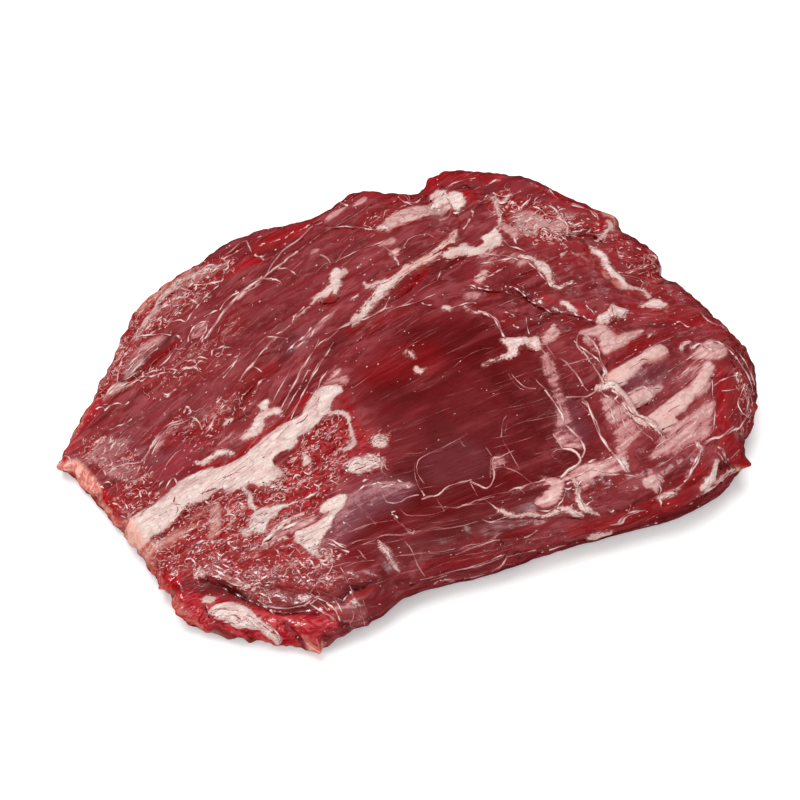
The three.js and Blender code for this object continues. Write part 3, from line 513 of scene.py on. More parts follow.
# Thin pale strands that lie on the muscle
STRANDS = traced("""
grid one: 331 522 0.4, 345 515 0.5, 360 507 0.5, 375 503 0.5
grid two: 337 536 0.5, 350 531 0.5, 363 527 0.4, 377 521 0.4
grid three: 345 546 0.4, 360 541 0.6, 374 538 0.7, 386 534 0.7, 400 534 0.7, 416 532 0.7, 432 529 0.5,
    448 528 0.5, 462 525 0.3
grid four: 341 568 0.5, 350 564 0.6, 362 561 0.5, 376 560 0.5
grid five: 395 556 0.4, 410 554 0.4, 425 553 0.5, 440 553 0.5
grid six: 455 552 0.5, 466 547 0.7, 478 544 0.7, 490 541 0.7, 500 539 0.7
grid cross: 353 500 0.4, 360 508 0.5, 366 514 0.5, 369 518 0.6
grid cross two: 394 517 0.4, 403 526 0.5, 411 531 0.8
grid cross three: 358 550 0.5, 362 555 0.9, 366 560 0.8
oval top: 467 433 0.4, 460 438 0.7, 447 445 0.6, 433 452 0.8, 419 461 0.9, 417 472 0.8, 420 478 0.7,
    424 484 0.6
oval left: 415 463 0.6, 414 470 0.6, 415 477 0.6, 418 483 0.7, 421 490 0.8, 424 496 1.7
oval foot: 421 499 1, 426 497 1.8, 434 496 1.5, 440 494 1.3, 449 486 1.3, 456 483 1.1, 464 481 0.9,
    472 480 0.8
oval right: 470 482 1.1, 478 486 1.3, 485 488 1.4, 491 484 1.4, 494 476 1.3, 493 466 1.3, 494 459 1.4,
    500 457 1.1, 508 453 0.8, 514 450 0.4
oval loop: 490 478 0.6, 490 468 0.7, 491 460 0.7
oval spur: 459 439 0.7, 462 443 0.6, 466 446 0.4
oval tail: 472 484 0.8, 475 491 0.7, 477 496 0.5
branch: 491 469 0.7, 499 467 0.8, 506 468 0.9, 514 471 0.8, 522 476 0.8, 532 483 0.6
branch up: 503 440 0.5, 508 449 0.6, 513 458 0.6, 517 466 0.9, 519 470 0.5
branch fork: 502 460 0.8, 505 466 0.8
vein above: 500 437 0.8, 502 428 0.7, 504 420 0.6, 507 416 0.6
vein above two: 505 433 0.4, 507 424 0.4, 510 416 0.4
spur: 486 448 0.5, 491 456 0.5
low line: 380 490 0.6, 385 500 1, 392 503 1, 400 501 0.8, 407 498 1, 419 495 1
front line: 443 511 0.6, 448 508 0.7, 457 508 0.7, 465 505 1.1, 470 503 1.4, 477 500 0.8, 486 499 0.7,
    495 497 0.7
front line left: 403 516 0.4, 420 516 0.5, 432 514 0.5, 443 511 0.5
front spur: 436 498 0.4, 440 505 0.5, 444 511 0.5
front left spur: 400 508 0.4, 406 514 0.5, 413 516 0.4
net arm: 508 492 0.9, 514 489 1.4, 522 488 1.4, 528 485 1, 536 482 1, 545 479 1.4
net arm spur: 533 482 0.7, 533 487 0.6
net arm low: 521 489 0.9, 525 493 0.6
net line tail: 486 500 0.6, 493 505 0.8, 498 510 1.4, 503 516 0.6
under line: 482 519 0.8, 490 522 1.2, 498 520 0.9, 507 517 0.8, 516 516 0.8
net left: 545 390 1.4, 551 398 1.5, 556 406 1.8, 561 415 2, 564 422 1.3
net left two: 552 391 0.8, 557 400 0.8, 562 410 1, 566 420 0.8
net left low: 564 424 1.4, 570 429 1.5, 576 436 1.4, 582 443 1.8, 585 450 1.8, 582 458 2
net inner: 553 434 1, 557 440 1.5, 562 447 1.8, 569 449 2, 576 453 2, 580 460 2.4, 576 466 2.2, 568 471 2.2,
    560 477 2.4
net loop: 568 449 0.8, 559 449 0.7, 553 452 0.7, 553 456 0.6, 556 459 0.5
net middle: 582 401 0.9, 588 408 1.2, 593 416 1, 598 428 1.2, 602 437 1.4, 607 444 1.5, 611 451 2.2
net upper: 560 358 0.8, 566 362 0.9, 572 369 1.2, 578 378 1.3, 584 386 1.2, 588 391 0.9
net upper two: 563 366 0.6, 572 363 0.8, 582 361 1.1, 592 358 1.4
stem left: 582 352 1.1, 588 358 1.4, 594 366 1.4, 600 376 1.4, 604 383 1.6
stem right: 592 340 1, 597 350 1.3, 601 360 1.4, 605 368 1.5, 608 375 1.6
stem arch: 582 352 1, 577 345 1.1, 576 338 1, 580 334 1.2, 586 336 1, 592 342 1
stem spur: 586 350 0.8, 592 356 1, 598 360 0.8
cross: 566 397 1, 576 397 1.2, 586 396 1, 594 392 1, 599 388 1.4
cross two: 582 398 0.8, 586 404 0.9, 591 412 0.8
cross three: 580 403 0.5, 586 409 0.7, 592 415 0.6
web one: 628 408 1, 620 404 1, 614 398 0.8
web two: 602 400 0.8, 612 414 0.8, 618 426 0.7
web three: 633 420 1, 640 430 1, 650 438 0.9, 653 441 0.6
web four: 612 452 1.2, 617 456 1.2, 622 461 1.2
web five: 626 434 0.8, 620 446 0.9, 624 452 0.8
web six: 625 474 1.2, 634 476 1, 641 480 0.7
web base: 600 476 1.2, 610 475 1.5, 620 474 0.8
base spur: 617 494 0.5, 628 491 0.7, 638 488 0.6
strip seam: 662 464 0.6, 672 458 0.7, 684 449 0.8, 692 444 0.8, 697 443 1
right strand: 686 459 0.7, 691 453 1.2, 697 449 0.9
right strand low: 699 453 1.3, 698 460 1.6, 694 468 1.3, 690 477 1.1, 683 484 0.9, 676 489 0.8
end hook: 720 447 1, 724 450 1.2, 726 457 1, 726 463 0.7
end hook two: 718 452 0.7, 722 457 0.8, 724 463 0.6
end ridge: 703 444 0.8, 712 438 1.1, 720 436 1, 728 431 1, 734 427 0.8
end cheek: 727 461 0.7, 733 456 0.9, 739 449 0.7
end sheet: 714 386 0.7, 722 380 0.8, 730 377 0.8, 738 375 1.4
rim one: 739 368 0.6, 741 380 0.8, 745 392 0.8, 748 406 0.7
rim two: 722 344 0.7, 732 350 0.8, 740 362 0.8, 748 374 0.8, 754 384 0.6
rim three: 745 384 0.6, 750 392 0.8, 752 402 0.7
rim four: 747 394 0.8, 741 402 0.8, 734 410 0.7, 728 418 0.6
rim five: 700 312 0.8, 706 319 1.2, 713 323 1.2, 722 325 0.9, 727 331 0.7
lower edge: 620 531 1, 640 527 1.2, 660 521 1.3, 680 510 1.3, 696 499 1.4, 706 491 1.2
lower edge left: 536 551 0.8, 552 547 1, 570 542 1, 586 539 1.2
lower edge low: 506 556 0.8, 520 554 1, 536 551 1
side fold: 420 580 0.8, 440 576 1, 460 570 1, 480 565 0.9, 500 558 0.9, 504 554 0.9
side fold low: 440 580 0.7, 460 580 0.8, 480 576 0.9, 494 571 1.2, 504 564 0.8
side hook: 426 591 1, 430 590 1.4, 434 584 1, 438 581 1.3
roll line: 455 554 0.7, 468 550 1, 484 545 1, 496 540 1, 500 541 0.6
roll line left: 400 556 0.6, 418 554 0.8, 440 552 0.8, 455 548 0.6
hollow line: 524 537 1.2, 532 534 0.9, 538 531 1.2
hollow side: 501 543 0.8, 503 549 0.8
low right one: 610 526 0.8, 620 523 1.6, 626 517 1.6, 634 513 1.2, 645 511 0.8
low right two: 629 512 0.9, 631 505 0.9
vertical: 405 541 0.7, 410 549 0.9, 414 557 0.8, 418 566 1.4, 422 573 0.8, 427 578 0.6
vertical upper: 401 524 0.6, 406 530 0.8, 412 534 1.2, 414 530 0.6
vertical left: 340 567 0.6, 345 577 0.8, 349 586 0.8, 352 593 1, 353 598 1
bead tail: 356 576 0.8, 362 580 0.6, 370 581 0.5
corner line: 357 604 1, 360 612 0.9, 364 620 0.8, 365 627 0.6
corner line two: 354 612 0.8, 352 620 0.8, 347 626 0.7
corner line three: 364 600 0.6, 367 610 0.7, 368 620 0.6
lip: 258 600 1.2, 266 605 1.1, 276 608 1.2, 286 609 1, 298 607 1, 306 605 0.8
chevron: 310 604 1.2, 316 608 1.3, 324 613 1.1, 331 616 1, 335 621 0.7
chevron two: 310 604 1, 315 600 1.2, 319 598 0.8
chevron three: 318 601 0.7, 323 606 0.9, 328 611 0.7
cheek: 326 603 1.4, 329 606 1.4, 332 610 1
cheek two: 334 608 0.9, 337 614 1.4, 338 620 0.9
film line: 310 592 0.5, 318 582 0.8, 326 576 0.8, 332 568 0.8, 334 562 0.5
grain one: 330 569 0.5, 345 563 0.6, 360 562 0.7, 374 560 0.6
grain two: 337 537 0.7, 348 532 0.6, 360 527 0.7, 378 522 0.6, 398 520 0.7
grain three: 362 544 0.6, 374 541 0.7, 384 536 0.6, 400 535 0.7, 412 533 0.7
grain four: 420 532 0.6, 440 529 0.7, 460 526 0.6, 478 521 0.6
grain five: 330 524 0.5, 345 514 0.6, 362 507 0.5
cross film: 345 522 0.5, 352 529 0.5, 357 533 0.7
cross film two: 360 505 0.5, 368 516 0.7, 376 524 0.5
band top: 319 340 0.7, 312 352 1, 306 362 0.9, 300 373 0.8, 294 384 0.7
band top two: 333 342 0.6, 324 356 0.8, 316 368 1, 310 380 0.8, 304 394 0.7, 298 404 0.8, 290 413 0.8,
    282 424 0.6
band top three: 292 384 0.7, 286 398 0.9, 281 408 0.7
band top four: 325 372 0.6, 320 380 0.8, 318 390 0.9
hook by the band: 310 393 0.8, 314 393 1, 317 398 1.2
left strand: 240 381 0.8, 246 372 1.3, 252 364 1.4, 258 357 1, 266 347 0.7, 276 337 0.8
left strand two: 220 378 0.6, 228 368 1, 236 360 0.7, 240 353 0.5
left strand three: 206 430 0.9, 212 422 1.2, 216 415 0.9
left strand four: 200 412 0.5, 208 402 0.7, 214 396 0.6
left line: 145 460 1.6, 150 450 1.4, 156 442 1.3, 162 434 1.2, 170 426 1.2, 180 423 1, 190 420 1
left line low: 140 466 1.2, 136 474 1, 132 482 0.8
left line two: 140 484 0.7, 147 474 0.7, 152 466 0.6
left line three: 152 488 0.5, 160 476 0.7, 168 462 0.8, 178 451 0.8, 188 446 0.6
left cross: 104 472 1, 112 468 1, 122 465 1, 134 464 1.2, 143 461 1.2
left ring: 192 421 1, 198 421 1, 201 425 1, 202 430 0.8
left tip: 62 456 1, 66 455 1.4, 70 459 1.4, 72 466 1
back strand: 240 293 1, 250 286 2, 258 280 1.4, 266 276 1.2, 276 268 1.4, 284 262 1.4, 290 256 1.2,
    298 251 0.9
back strand two: 209 337 0.8, 214 328 1.2, 220 318 1.2, 228 308 1, 236 298 1
back strand three: 262 279 0.8, 272 281 0.8, 280 283 0.6
back strand four: 268 273 0.9, 274 262 1.2, 282 252 1.2, 292 244 1.2, 302 236 1.2, 312 226 1.4, 322 222 1
back strand five: 222 258 0.6, 232 250 0.9, 240 243 0.8, 246 240 0.6
back strand six: 224 258 0.9, 227 263 0.9, 227 268 0.7
back strand seven: 247 240 0.8, 250 248 1.2, 252 252 0.8
middle strand: 335 262 0.6, 345 250 0.8, 354 239 0.8
middle strand two: 315 273 0.6, 322 267 0.6, 328 263 0.6
middle strand three: 320 255 0.8, 328 259 1, 330 265 0.6
middle strand four: 350 301 1.2, 354 298 1.3, 358 295 0.8
beside seam: 384 316 0.6, 394 309 1, 405 304 1, 413 298 0.7
beside seam two: 384 298 0.8, 386 305 0.8, 380 311 0.8, 370 318 0.8, 360 322 0.9
beside seam three: 325 341 0.6, 336 333 0.9, 346 325 1.2, 356 321 1.2
top beads: 402 250 0.7, 407 241 0.8, 414 237 0.7, 421 235 0.8, 427 233 1, 434 237 0.7
top fleck: 391 254 1.2, 395 258 1.5, 398 263 1.3
top line: 382 246 0.6, 388 250 0.7, 392 254 0.7
top rise: 489 184 1, 494 182 1.2, 500 180 0.8
top fleck two: 463 229 1.2, 467 223 1.2, 469 218 0.7
above lump: 478 311 1.3, 484 313 1.8, 491 316 1.2, 497 320 1.2, 501 328 1.2, 504 336 1.5
right of lump: 541 347 0.8, 546 354 1, 550 362 0.9, 556 372 0.9
right of lump two: 546 346 0.6, 552 354 0.6, 556 359 0.6
fine net: 508 374 0.5, 516 384 0.7, 524 390 0.6
fine net two: 512 374 0.8, 518 381 0.9, 526 387 0.9, 536 389 0.9
fine net three: 536 380 0.7, 544 388 0.7, 552 391 0.7
far strand: 560 257 0.7, 564 254 1.2, 568 251 0.8
far strand two: 566 262 0.5, 572 267 0.6
far strand three: 590 311 0.6, 586 305 1
far strand four: 625 273 0.8, 632 271 1, 640 267 0.7
far strand five: 648 256 0.7, 655 256 1, 660 259 0.7
far strand six: 655 263 0.8, 659 270 1, 660 277 0.8
far strand seven: 648 336 0.8, 651 333 1, 653 330 0.7
upper right edge: 540 181 0.6, 548 190 0.8, 556 198 0.7
far arc: 572 204 0.7, 584 208 0.9, 594 213 0.9, 598 220 1
""")

# Painted highlights: pale ribbons along film wrinkles where they catch the light, each with a painted
# shadow just below it
PAINTED_GLEAMS = traced("""
low edge: 732 469 0.8, 725 477 1.1, 718 484 1.3, 707 491 1, 700 495 1.1
low edge two: 700 496 0.8, 694 501 1, 689 505 1.1, 682 510 0.8, 676 513 0.6
low edge three: 676 513 0.5, 669 517 0.8, 662 521 0.8, 652 524 0.7, 641 527 0.5
film edge: 712 380 0.5, 713 396 0.6, 715 414 0.7, 713 432 0.5
end ridge start: 712 437 0.6, 719 438 0.9, 729 431 0.7
strip tip: 643 387 0.6, 648 389 0.9, 651 392 0.8, 653 389 0.6
strip top glint: 666 347 0.7, 666 351 1.2, 668 353 0.7
rim drop: 197 283 0.7, 196 288 1.1, 195 291 0.8
rim rise: 189 287 0.7, 193 283 1, 199 282 0.8
rim tail: 203 273 0.6, 211 272 0.9, 218 267 0.9, 221 265 0.6
rim to back: 222 259 0.7, 231 255 0.9, 238 251 0.7
rim dots: 175 299 0.6, 178 298 1.2, 181 297 0.8
rim bright: 184 295 0.7, 189 293 1.2, 194 295 0.9
rim bright two: 190 298 0.7, 194 301 1.1, 198 304 0.9
rim bar: 175 313 0.8, 178 313 1.2, 181 313 0.8
rim blob: 175 336 0.7, 178 336 1.2, 181 339 1, 181 342 0.8
lobe edge low: 197 346 0.5, 200 340 0.8, 204 335 0.8
wide film: 220 310 0.7, 225 302 1.1, 233 295 1.1, 239 292 0.8
torn ring: 524 222 0.6, 527 219 0.9, 532 219 0.9, 536 223 0.9, 537 228 0.7
torn flake edge: 553 221 0.6, 558 218 1, 563 220 1, 567 225 1, 568 231 0.9, 565 237 0.6
torn comb one: 553 235 0.6, 558 238 0.9, 562 241 0.7
torn comb two: 556 233 0.6, 561 236 0.9, 565 239 0.7
torn comb three: 559 231 0.6, 564 234 0.9, 568 236 0.6
torn comb four: 560 244 0.6, 563 245 1.1, 566 248 0.8
torn spur: 567 226 0.7, 573 226 1.1, 580 223 0.8
torn dash: 578 232 0.6, 582 230 1, 587 229 0.7
torn hatch one: 521 231 0.6, 525 234 0.9, 528 237 0.6
torn hatch two: 524 228 0.6, 529 231 0.9, 532 234 0.6
torn hatch three: 541 231 0.5, 545 231 0.8, 549 234 0.6
torn hatch four: 540 235 0.5, 544 238 0.8, 548 237 0.6
torn bead one: 550 203 0.8, 551 205 1.3, 550 207 0.7
torn bead two: 545 206 0.7, 546 208 1.1
torn bead three: 558 206 0.7, 559 208 1.1
torn bead four: 530 205 0.7, 532 207 1.2
torn bead five: 552 206 0.6, 556 210 0.9, 558 214 0.7, 561 216 0.9
fold film one: 204 568 0.8, 210 565 1.2, 216 566 1.2, 222 569 1, 228 573 0.8
fold film two: 206 573 0.8, 212 570 1.1, 219 572 1.2, 226 576 1, 233 580 0.8
fold film three: 212 576 0.6, 219 577 1, 226 580 1.1, 233 584 0.9, 239 586 0.6
fold film four: 222 564 0.6, 228 567 1, 234 571 1, 240 573 0.7
fold film five: 230 577 0.7, 237 579 1, 244 584 0.9, 250 586 0.6
fold film six: 244 590 0.6, 250 591 1, 256 589 0.8
fold film seven: 254 585 0.7, 259 583 1.1, 264 586 1, 269 590 0.8
fold film eight: 257 593 0.7, 263 594 1.1, 268 598 0.9, 272 603 0.6
bead: 195 576 0.8, 199 573 1.9, 203 575 1.7, 202 578 0.8
field loop: 185 560 0.6, 190 558 0.9, 193 561 0.9, 196 566 0.7
ledge line one: 213 613 0.6, 222 609 1, 231 609 1.1, 239 611 0.8
ledge line two: 214 618 0.6, 222 615 1, 231 615 1.1, 240 617 1, 248 621 0.7
ledge line three: 222 622 0.6, 230 622 1, 238 625 1.1, 246 628 0.8
ledge line four: 243 612 0.7, 250 616 1.1, 256 622 1, 262 628 0.8
ledge line five: 252 624 0.7, 259 629 1.1, 267 632 0.9, 275 637 0.7
ledge line six: 266 622 0.5, 272 627 0.9, 278 634 0.9, 281 640 0.6
ledge drip: 206 620 0.7, 208 614 1.2, 211 611 1
ledge drip two: 208 624 0.7, 212 623 1.1, 215 621 0.8
ledge glint: 270 610 0.6, 273 613 1, 275 615 0.6
ledge glint two: 286 618 0.5, 289 621 1, 291 620 0.6
ledge glint three: 296 639 0.6, 298 637 1, 297 634 0.7
ledge glint four: 275 640 0.6, 279 641 1, 283 639 0.7
low speck: 298 596 0.6, 302 595 1.1, 302 599 0.8
low speck two: 264 586 0.5, 268 585 1, 270 587 0.6
low speck three: 281 601 0.6, 284 600 1.1, 286 602 0.6
low speck four: 298 583 0.7, 301 581 1.2, 304 584 0.9
glossy one: 348 467 0.7, 352 461 1, 358 458 1, 363 460 0.8
glossy two: 366 457 0.8, 371 456 1.2, 375 459 1, 372 464 1
glossy three: 376 460 0.9, 380 458 1.2, 384 460 0.8
glossy four: 360 471 0.8, 366 469 1, 373 468 0.9, 381 466 0.8
striped one: 374 437 0.8, 380 435 1, 386 438 0.9
striped two: 375 442 0.8, 381 440 1, 387 443 0.8
front crumple: 359 490 0.8, 364 486 1.2, 370 485 1, 376 483 0.8
front crumple two: 362 482 0.7, 366 480 1.2, 369 480 0.8
front crumple three: 377 482 0.8, 383 484 1.2, 390 485 1, 397 484 0.8
front crumple four: 381 488 0.7, 388 486 1, 396 488 0.8
front crumple five: 398 480 0.8, 404 483 1.1, 408 487 1
front crumple six: 400 489 0.6, 407 488 0.9, 413 486 0.8
white stroke: 391 512 0.8, 395 511 1
white stroke two: 392 514 0.7, 395 516 1.3, 398 518 0.8
white stroke three: 368 505 0.7, 371 505 1.2, 373 504 0.7
white stroke four: 335 521 0.9, 337 525 1
white stroke five: 343 522 0.8, 345 524 0.9
crumple edge: 379 541 0.7, 384 546 1, 389 551 1, 391 558 0.9
crumple edge two: 385 552 0.8, 390 560 1, 395 567 0.9, 399 572 0.6
low crumple: 326 543 0.6, 334 545 1, 341 549 1, 349 552 1.2
low crumple two: 340 544 0.6, 347 546 0.8, 354 543 0.7
swirl: 319 553 0.9, 322 549 1, 327 551 1, 329 556 1, 325 561 1, 319 562 0.9
swirl heart: 321 557 0.7, 324 555 0.8, 325 558 0.7
film hem: 331 556 0.3, 332 566 0.5, 327 575 0.5, 316 582 0.4
fold arc: 307 602 0.8, 313 606 1.2, 319 610 1, 327 614 1, 334 620 0.9
fold arc two: 318 598 0.7, 326 602 0.9, 333 608 1.1, 338 616 1.1, 340 622 0.8
fold arc three: 333 597 0.6, 338 604 0.8, 342 612 0.8
fold arc four: 300 607 0.7, 308 603 1, 314 598 0.9, 320 596 0.6
roll top: 430 581 0.5, 450 574 0.7, 470 567 0.7, 488 561 0.7, 502 555 0.7
roll foot: 444 579 0.5, 462 579 0.7, 480 577 0.9, 492 573 1, 500 567 0.8, 507 557 0.7
film line: 136 338 0.8, 143 332 0.9, 150 326 1, 157 321 1, 162 316 0.8
film long: 185 324 0.6, 190 316 0.9, 196 308 1, 201 302 1, 207 295 1, 214 289 0.9, 219 285 0.7
lobe dash: 204 317 0.9, 211 313 1.2, 218 310 1
back main: 208 334 0.8, 214 325 1, 221 315 1, 229 305 1, 237 297 0.9, 245 290 0.8, 253 283 1, 262 277 0.8
back hook: 266 278 0.7, 273 279 1, 279 281 1, 282 285 0.6
back bow: 262 278 0.7, 270 272 0.7, 279 269 0.7, 288 269 0.8, 294 273 1, 298 276 0.7
back bright: 279 268 0.6, 284 262 1, 290 256 1, 298 251 0.7
rim dash: 203 268 0.6, 210 265 0.8, 217 266 0.8
rim dash two: 200 273 0.6, 208 269 0.8, 216 271 0.7
rim dash three: 254 255 0.9, 259 257 1.3, 264 260 1.2
groove side: 126 378 0.7, 134 370 0.9, 142 362 1, 150 354 1, 158 348 0.8
groove side two: 122 374 0.8, 128 366 0.9, 136 358 0.8, 146 350 0.8
groove foot: 120 380 0.9, 127 379 0.8, 136 373 0.9, 143 370 0.8
muscle curl: 194 360 0.7, 197 366 0.7, 201 370 0.8
muscle arc: 179 374 0.8, 183 370 1, 189 368 1, 196 368 0.8, 201 372 0.5
muscle row: 138 378 0.9, 144 376 1, 150 377 0.9, 156 375 0.9, 163 373 0.8, 170 372 0.9
tongue edge: 103 400 0.9, 110 393 1.2, 118 388 1.1, 128 383 0.9, 138 380 0.8
muscle dash: 162 392 0.8, 167 395 1, 172 391 0.7
muscle ring: 184 411 0.9, 186 407 1.1, 190 408 1.1, 189 412 0.8
left bright: 205 434 0.9, 210 427 1.3, 214 420 1.1, 218 411 0.9, 223 403 0.6
left rise: 146 458 1.2, 151 447 1.1, 157 437 1.2, 164 428 1, 172 423 0.9, 182 420 0.8, 191 417 0.9,
    197 420 1, 202 427 0.8
left rise two: 152 454 0.7, 158 443 0.8, 166 433 0.7, 176 426 0.6
left thin: 223 378 0.6, 230 370 0.8, 236 361 0.9, 240 353 0.6
left white: 239 381 1, 245 373 1.4, 251 365 1.2, 257 358 0.9, 264 350 0.8, 271 343 0.7, 277 337 0.7
cross dash: 267 337 0.5, 275 337 0.8, 284 338 0.6, 288 339 0.6
cross dash two: 276 334 0.8, 283 331 0.6, 290 325 0.5
tail of lump: 292 324 0.6, 294 317 0.9, 299 312 0.8, 304 307 0.6
grey flake: 257 391 0.8, 258 385 1.2, 261 381 1.3, 266 378 0.7
grey flake two: 250 367 0.6, 255 367 1, 262 372 0.6
long seam: 286 353 0.9, 292 346 0.9, 299 340 1, 306 335 1.1, 311 328 0.9
long seam two: 294 350 0.7, 302 343 0.9, 310 337 1, 316 328 1, 324 319 0.9, 334 311 0.8
fan one: 281 409 0.6, 287 397 0.9, 295 383 1, 303 369 1, 310 356 0.9, 318 345 0.8, 327 338 0.7
fan two: 291 419 0.5, 298 404 0.7, 305 390 0.8, 313 376 0.8, 321 363 0.8, 330 349 0.7
fan three: 317 391 0.7, 321 380 0.9, 328 370 0.7
fan four: 272 404 0.4, 279 390 0.6, 287 376 0.6, 296 360 0.5
fan five: 284 414 0.4, 292 400 0.5, 300 386 0.6, 308 370 0.5
back mark: 338 201 1.2, 343 204 1.5, 348 206 1.2
top arch: 486 186 0.8, 491 183 1, 496 180 1.1, 501 180 0.8
top hook: 480 202 0.9, 484 200 1, 487 195 0.8
top line: 444 190 0.5, 452 184 0.7, 460 181 0.7, 468 179 0.7, 475 178 0.5
top notch line: 396 194 0.6, 401 200 0.8, 409 203 0.9, 417 202 1.2, 421 198 0.7
knob drop: 472 210 0.9, 473 214 1.6, 472 216 0.9
knob streak: 463 229 1.2, 467 224 1.5, 470 219 0.8
blob foot: 453 213 0.8, 457 213 1.3, 461 212 1
blob edge: 446 197 0.6, 450 202 0.9, 453 209 0.9
fold line: 326 228 0.4, 340 227 0.6, 356 227 0.6, 368 229 0.7, 376 230 0.8
grey line: 326 266 0.4, 345 257 0.6, 362 249 0.6, 379 243 0.7, 386 239 0.5
single fleck: 357 268 1.1, 359 266 1.4, 361 264 0.8
fleck tail: 392 254 1, 395 258 1.5, 397 262 1.3, 399 265 0.8
seam top edge: 420 258 0.6, 430 253 0.8, 440 246 0.8, 448 240 1, 455 232 0.8
seam low edge: 386 293 0.6, 395 285 0.7, 408 273 0.7, 422 266 0.8, 440 259 0.8
seam shoulder: 366 289 0.7, 374 285 0.9, 384 282 0.9, 392 277 0.7
seam film edge: 362 311 0.9, 366 303 0.8, 372 297 1, 376 290 0.9
seam film side: 370 309 0.8, 376 303 0.7, 382 297 0.8, 387 293 0.8
under seam: 325 334 0.7, 340 328 0.9, 352 323 1.2, 362 320 0.9, 374 315 0.9, 384 309 1, 396 307 0.7,
    410 304 0.6, 424 299 0.5, 436 294 0.4
pocket line: 390 297 0.6, 387 303 0.8, 384 309 0.7
short streak: 348 301 1, 353 298 1.3, 359 294 0.9
pink crumbs: 422 303 0.7, 427 305 0.8, 432 305 0.6
white hook: 441 271 0.7, 439 275 0.8, 437 281 0.5
chain: 452 308 0.5, 460 305 0.8, 468 303 0.6, 476 303 0.8
lead: 464 306 0.6, 471 310 0.8, 477 313 1.2, 483 313 1.5, 489 316 1.1, 495 320 0.9, 499 328 1, 503 335 1.4,
    505 339 1.4
flap start: 467 286 0.6, 471 285 0.8, 475 287 0.9, 475 289 0.8, 471 288 0.7
flap start side: 478 288 0.7, 483 289 0.8, 488 290 0.9, 492 290 0.6
flap start top: 482 284 0.5, 485 286 0.9, 489 287 0.6
flap lip: 510 287 0.7, 514 287 0.9, 518 290 1, 522 293 0.9, 526 296 0.7
flap lip side: 528 299 0.5, 532 302 0.9, 536 303 0.8
flap lip loop: 537 303 0.4, 539 302 0.6, 541 304 0.6
flap lip end: 542 306 0.6, 546 309 0.8, 550 312 0.8, 552 313 0.5
wet glint one: 256 239 0.5, 259 237 0.8, 262 236 0.5
wet glint two: 258 247 0.5, 261 245 0.9, 265 243 0.6
wet glint three: 270 243 0.5, 275 241 0.7, 280 239 0.4
wet glint four: 285 238 0.5, 290 234 0.8, 294 231 0.5
wet glint five: 258 256 0.7, 262 257 1.3, 266 254 0.8
wet glint six: 300 230 0.5, 305 228 0.8, 310 224 0.5
flap bead one: 502 290 0.6, 502 288 0.7
flap bead two: 505 287 0.6, 506 286 0.9
flap bead three: 506 291 0.6, 508 293 0.7, 511 294 0.5
flap top glint: 522 286 0.4, 524 288 0.5
flap top curl: 536 299 0.4, 540 299 0.6, 543 298 0.6
pocket curve: 503 312 0.7, 506 312 0.9, 510 313 0.6, 514 316 0.5, 516 319 0.4
pocket tick: 539 319 0.4, 542 316 0.6, 544 315 0.4
pocket bead: 530 319 0.8, 532 320 0.9
second lip: 553 307 0.6, 556 309 0.9, 559 311 0.9, 562 312 0.7, 566 311 0.6
second lip side: 569 310 0.5, 573 312 0.8, 577 315 1, 580 316 0.6
second lip end: 583 316 0.6, 587 319 0.9, 591 320 0.8, 594 321 0.5
second lip tip: 594 318 0.5, 596 321 0.9, 598 323 1
second lip tick: 586 305 0.6, 589 308 0.8, 592 311 0.5, 595 315 0.4
hollow curl: 513 325 0.9, 516 327 1.3, 519 328 0.9
hollow line: 526 318 0.4, 527 326 0.6, 529 334 0.6
seam arc: 480 264 0.5, 490 262 0.7, 502 260 0.9, 514 258 1, 526 258 1.1, 534 261 1
seam arc low: 528 262 0.6, 535 268 0.8, 541 275 0.8, 547 281 1, 552 287 1.3, 560 288 1.2, 567 285 1,
    573 282 0.9
film fold: 486 271 0.7, 493 273 0.8, 500 270 0.8, 506 266 0.8
film fold low: 474 278 0.8, 481 275 1.1, 487 277 1, 494 274 0.6
film stripe: 486 254 0.5, 498 255 0.7, 510 257 0.6, 518 260 0.5
far dash: 560 256 0.8, 563 253 1, 567 251 0.7
ring: 506 208 0.8, 509 204 1, 514 203 1.2, 518 206 1.2, 519 210 1, 515 212 0.9, 510 211 0.8
ring stripe: 511 207 0.6, 514 209 0.8, 516 210 0.6
ring two: 524 226 0.8, 527 221 1.1, 532 220 1, 536 224 0.9, 533 229 0.9, 528 229 0.8
ring three: 538 233 0.8, 543 229 1, 549 231 1.1, 551 236 1, 546 239 1.2, 540 237 0.9
ring three stripe: 543 232 0.6, 546 234 0.7, 548 237 0.6
torn arc: 553 220 0.9, 559 219 1.1, 565 223 1, 567 229 0.9, 565 236 0.9, 566 240 0.6
torn row: 545 204 0.8, 550 206 0.9, 556 210 1, 561 216 0.8, 567 220 0.8
torn row two: 568 222 0.8, 574 225 1, 580 224 0.8
torn row three: 562 243 1.2, 566 246 1.4, 567 248 0.9
torn row four: 572 232 0.6, 578 231 0.9, 585 230 0.8
torn strip: 493 193 1, 499 196 1.2, 507 196 1, 514 194 0.8, 521 191 0.6
torn strip two: 495 200 1.2, 501 203 1.4, 508 201 0.9
torn twig: 532 194 0.8, 529 200 0.9, 523 205 0.9, 520 212 1
torn twig two: 533 206 0.7, 540 209 1, 546 215 0.9
torn foot: 513 235 0.8, 515 240 1.4, 516 244 0.8
torn foot two: 504 240 0.6, 510 246 0.8, 518 248 0.9, 526 252 0.6
vertical edge: 498 202 0.6, 500 212 0.8, 500 222 0.8, 498 230 0.8
notch bead: 598 224 1.2, 599 226 0.8
rim gleam: 543 184 0.5, 549 189 0.8, 554 195 0.7
far rim: 572 205 0.6, 582 208 0.8, 590 211 0.8, 596 217 0.7
corner dash: 637 248 0.8, 641 250 1
corner curl: 643 268 0.6, 646 266 0.9, 651 265 1.1, 655 267 0.9
corner curl two: 629 268 0.7, 632 265 0.9, 635 267 0.6
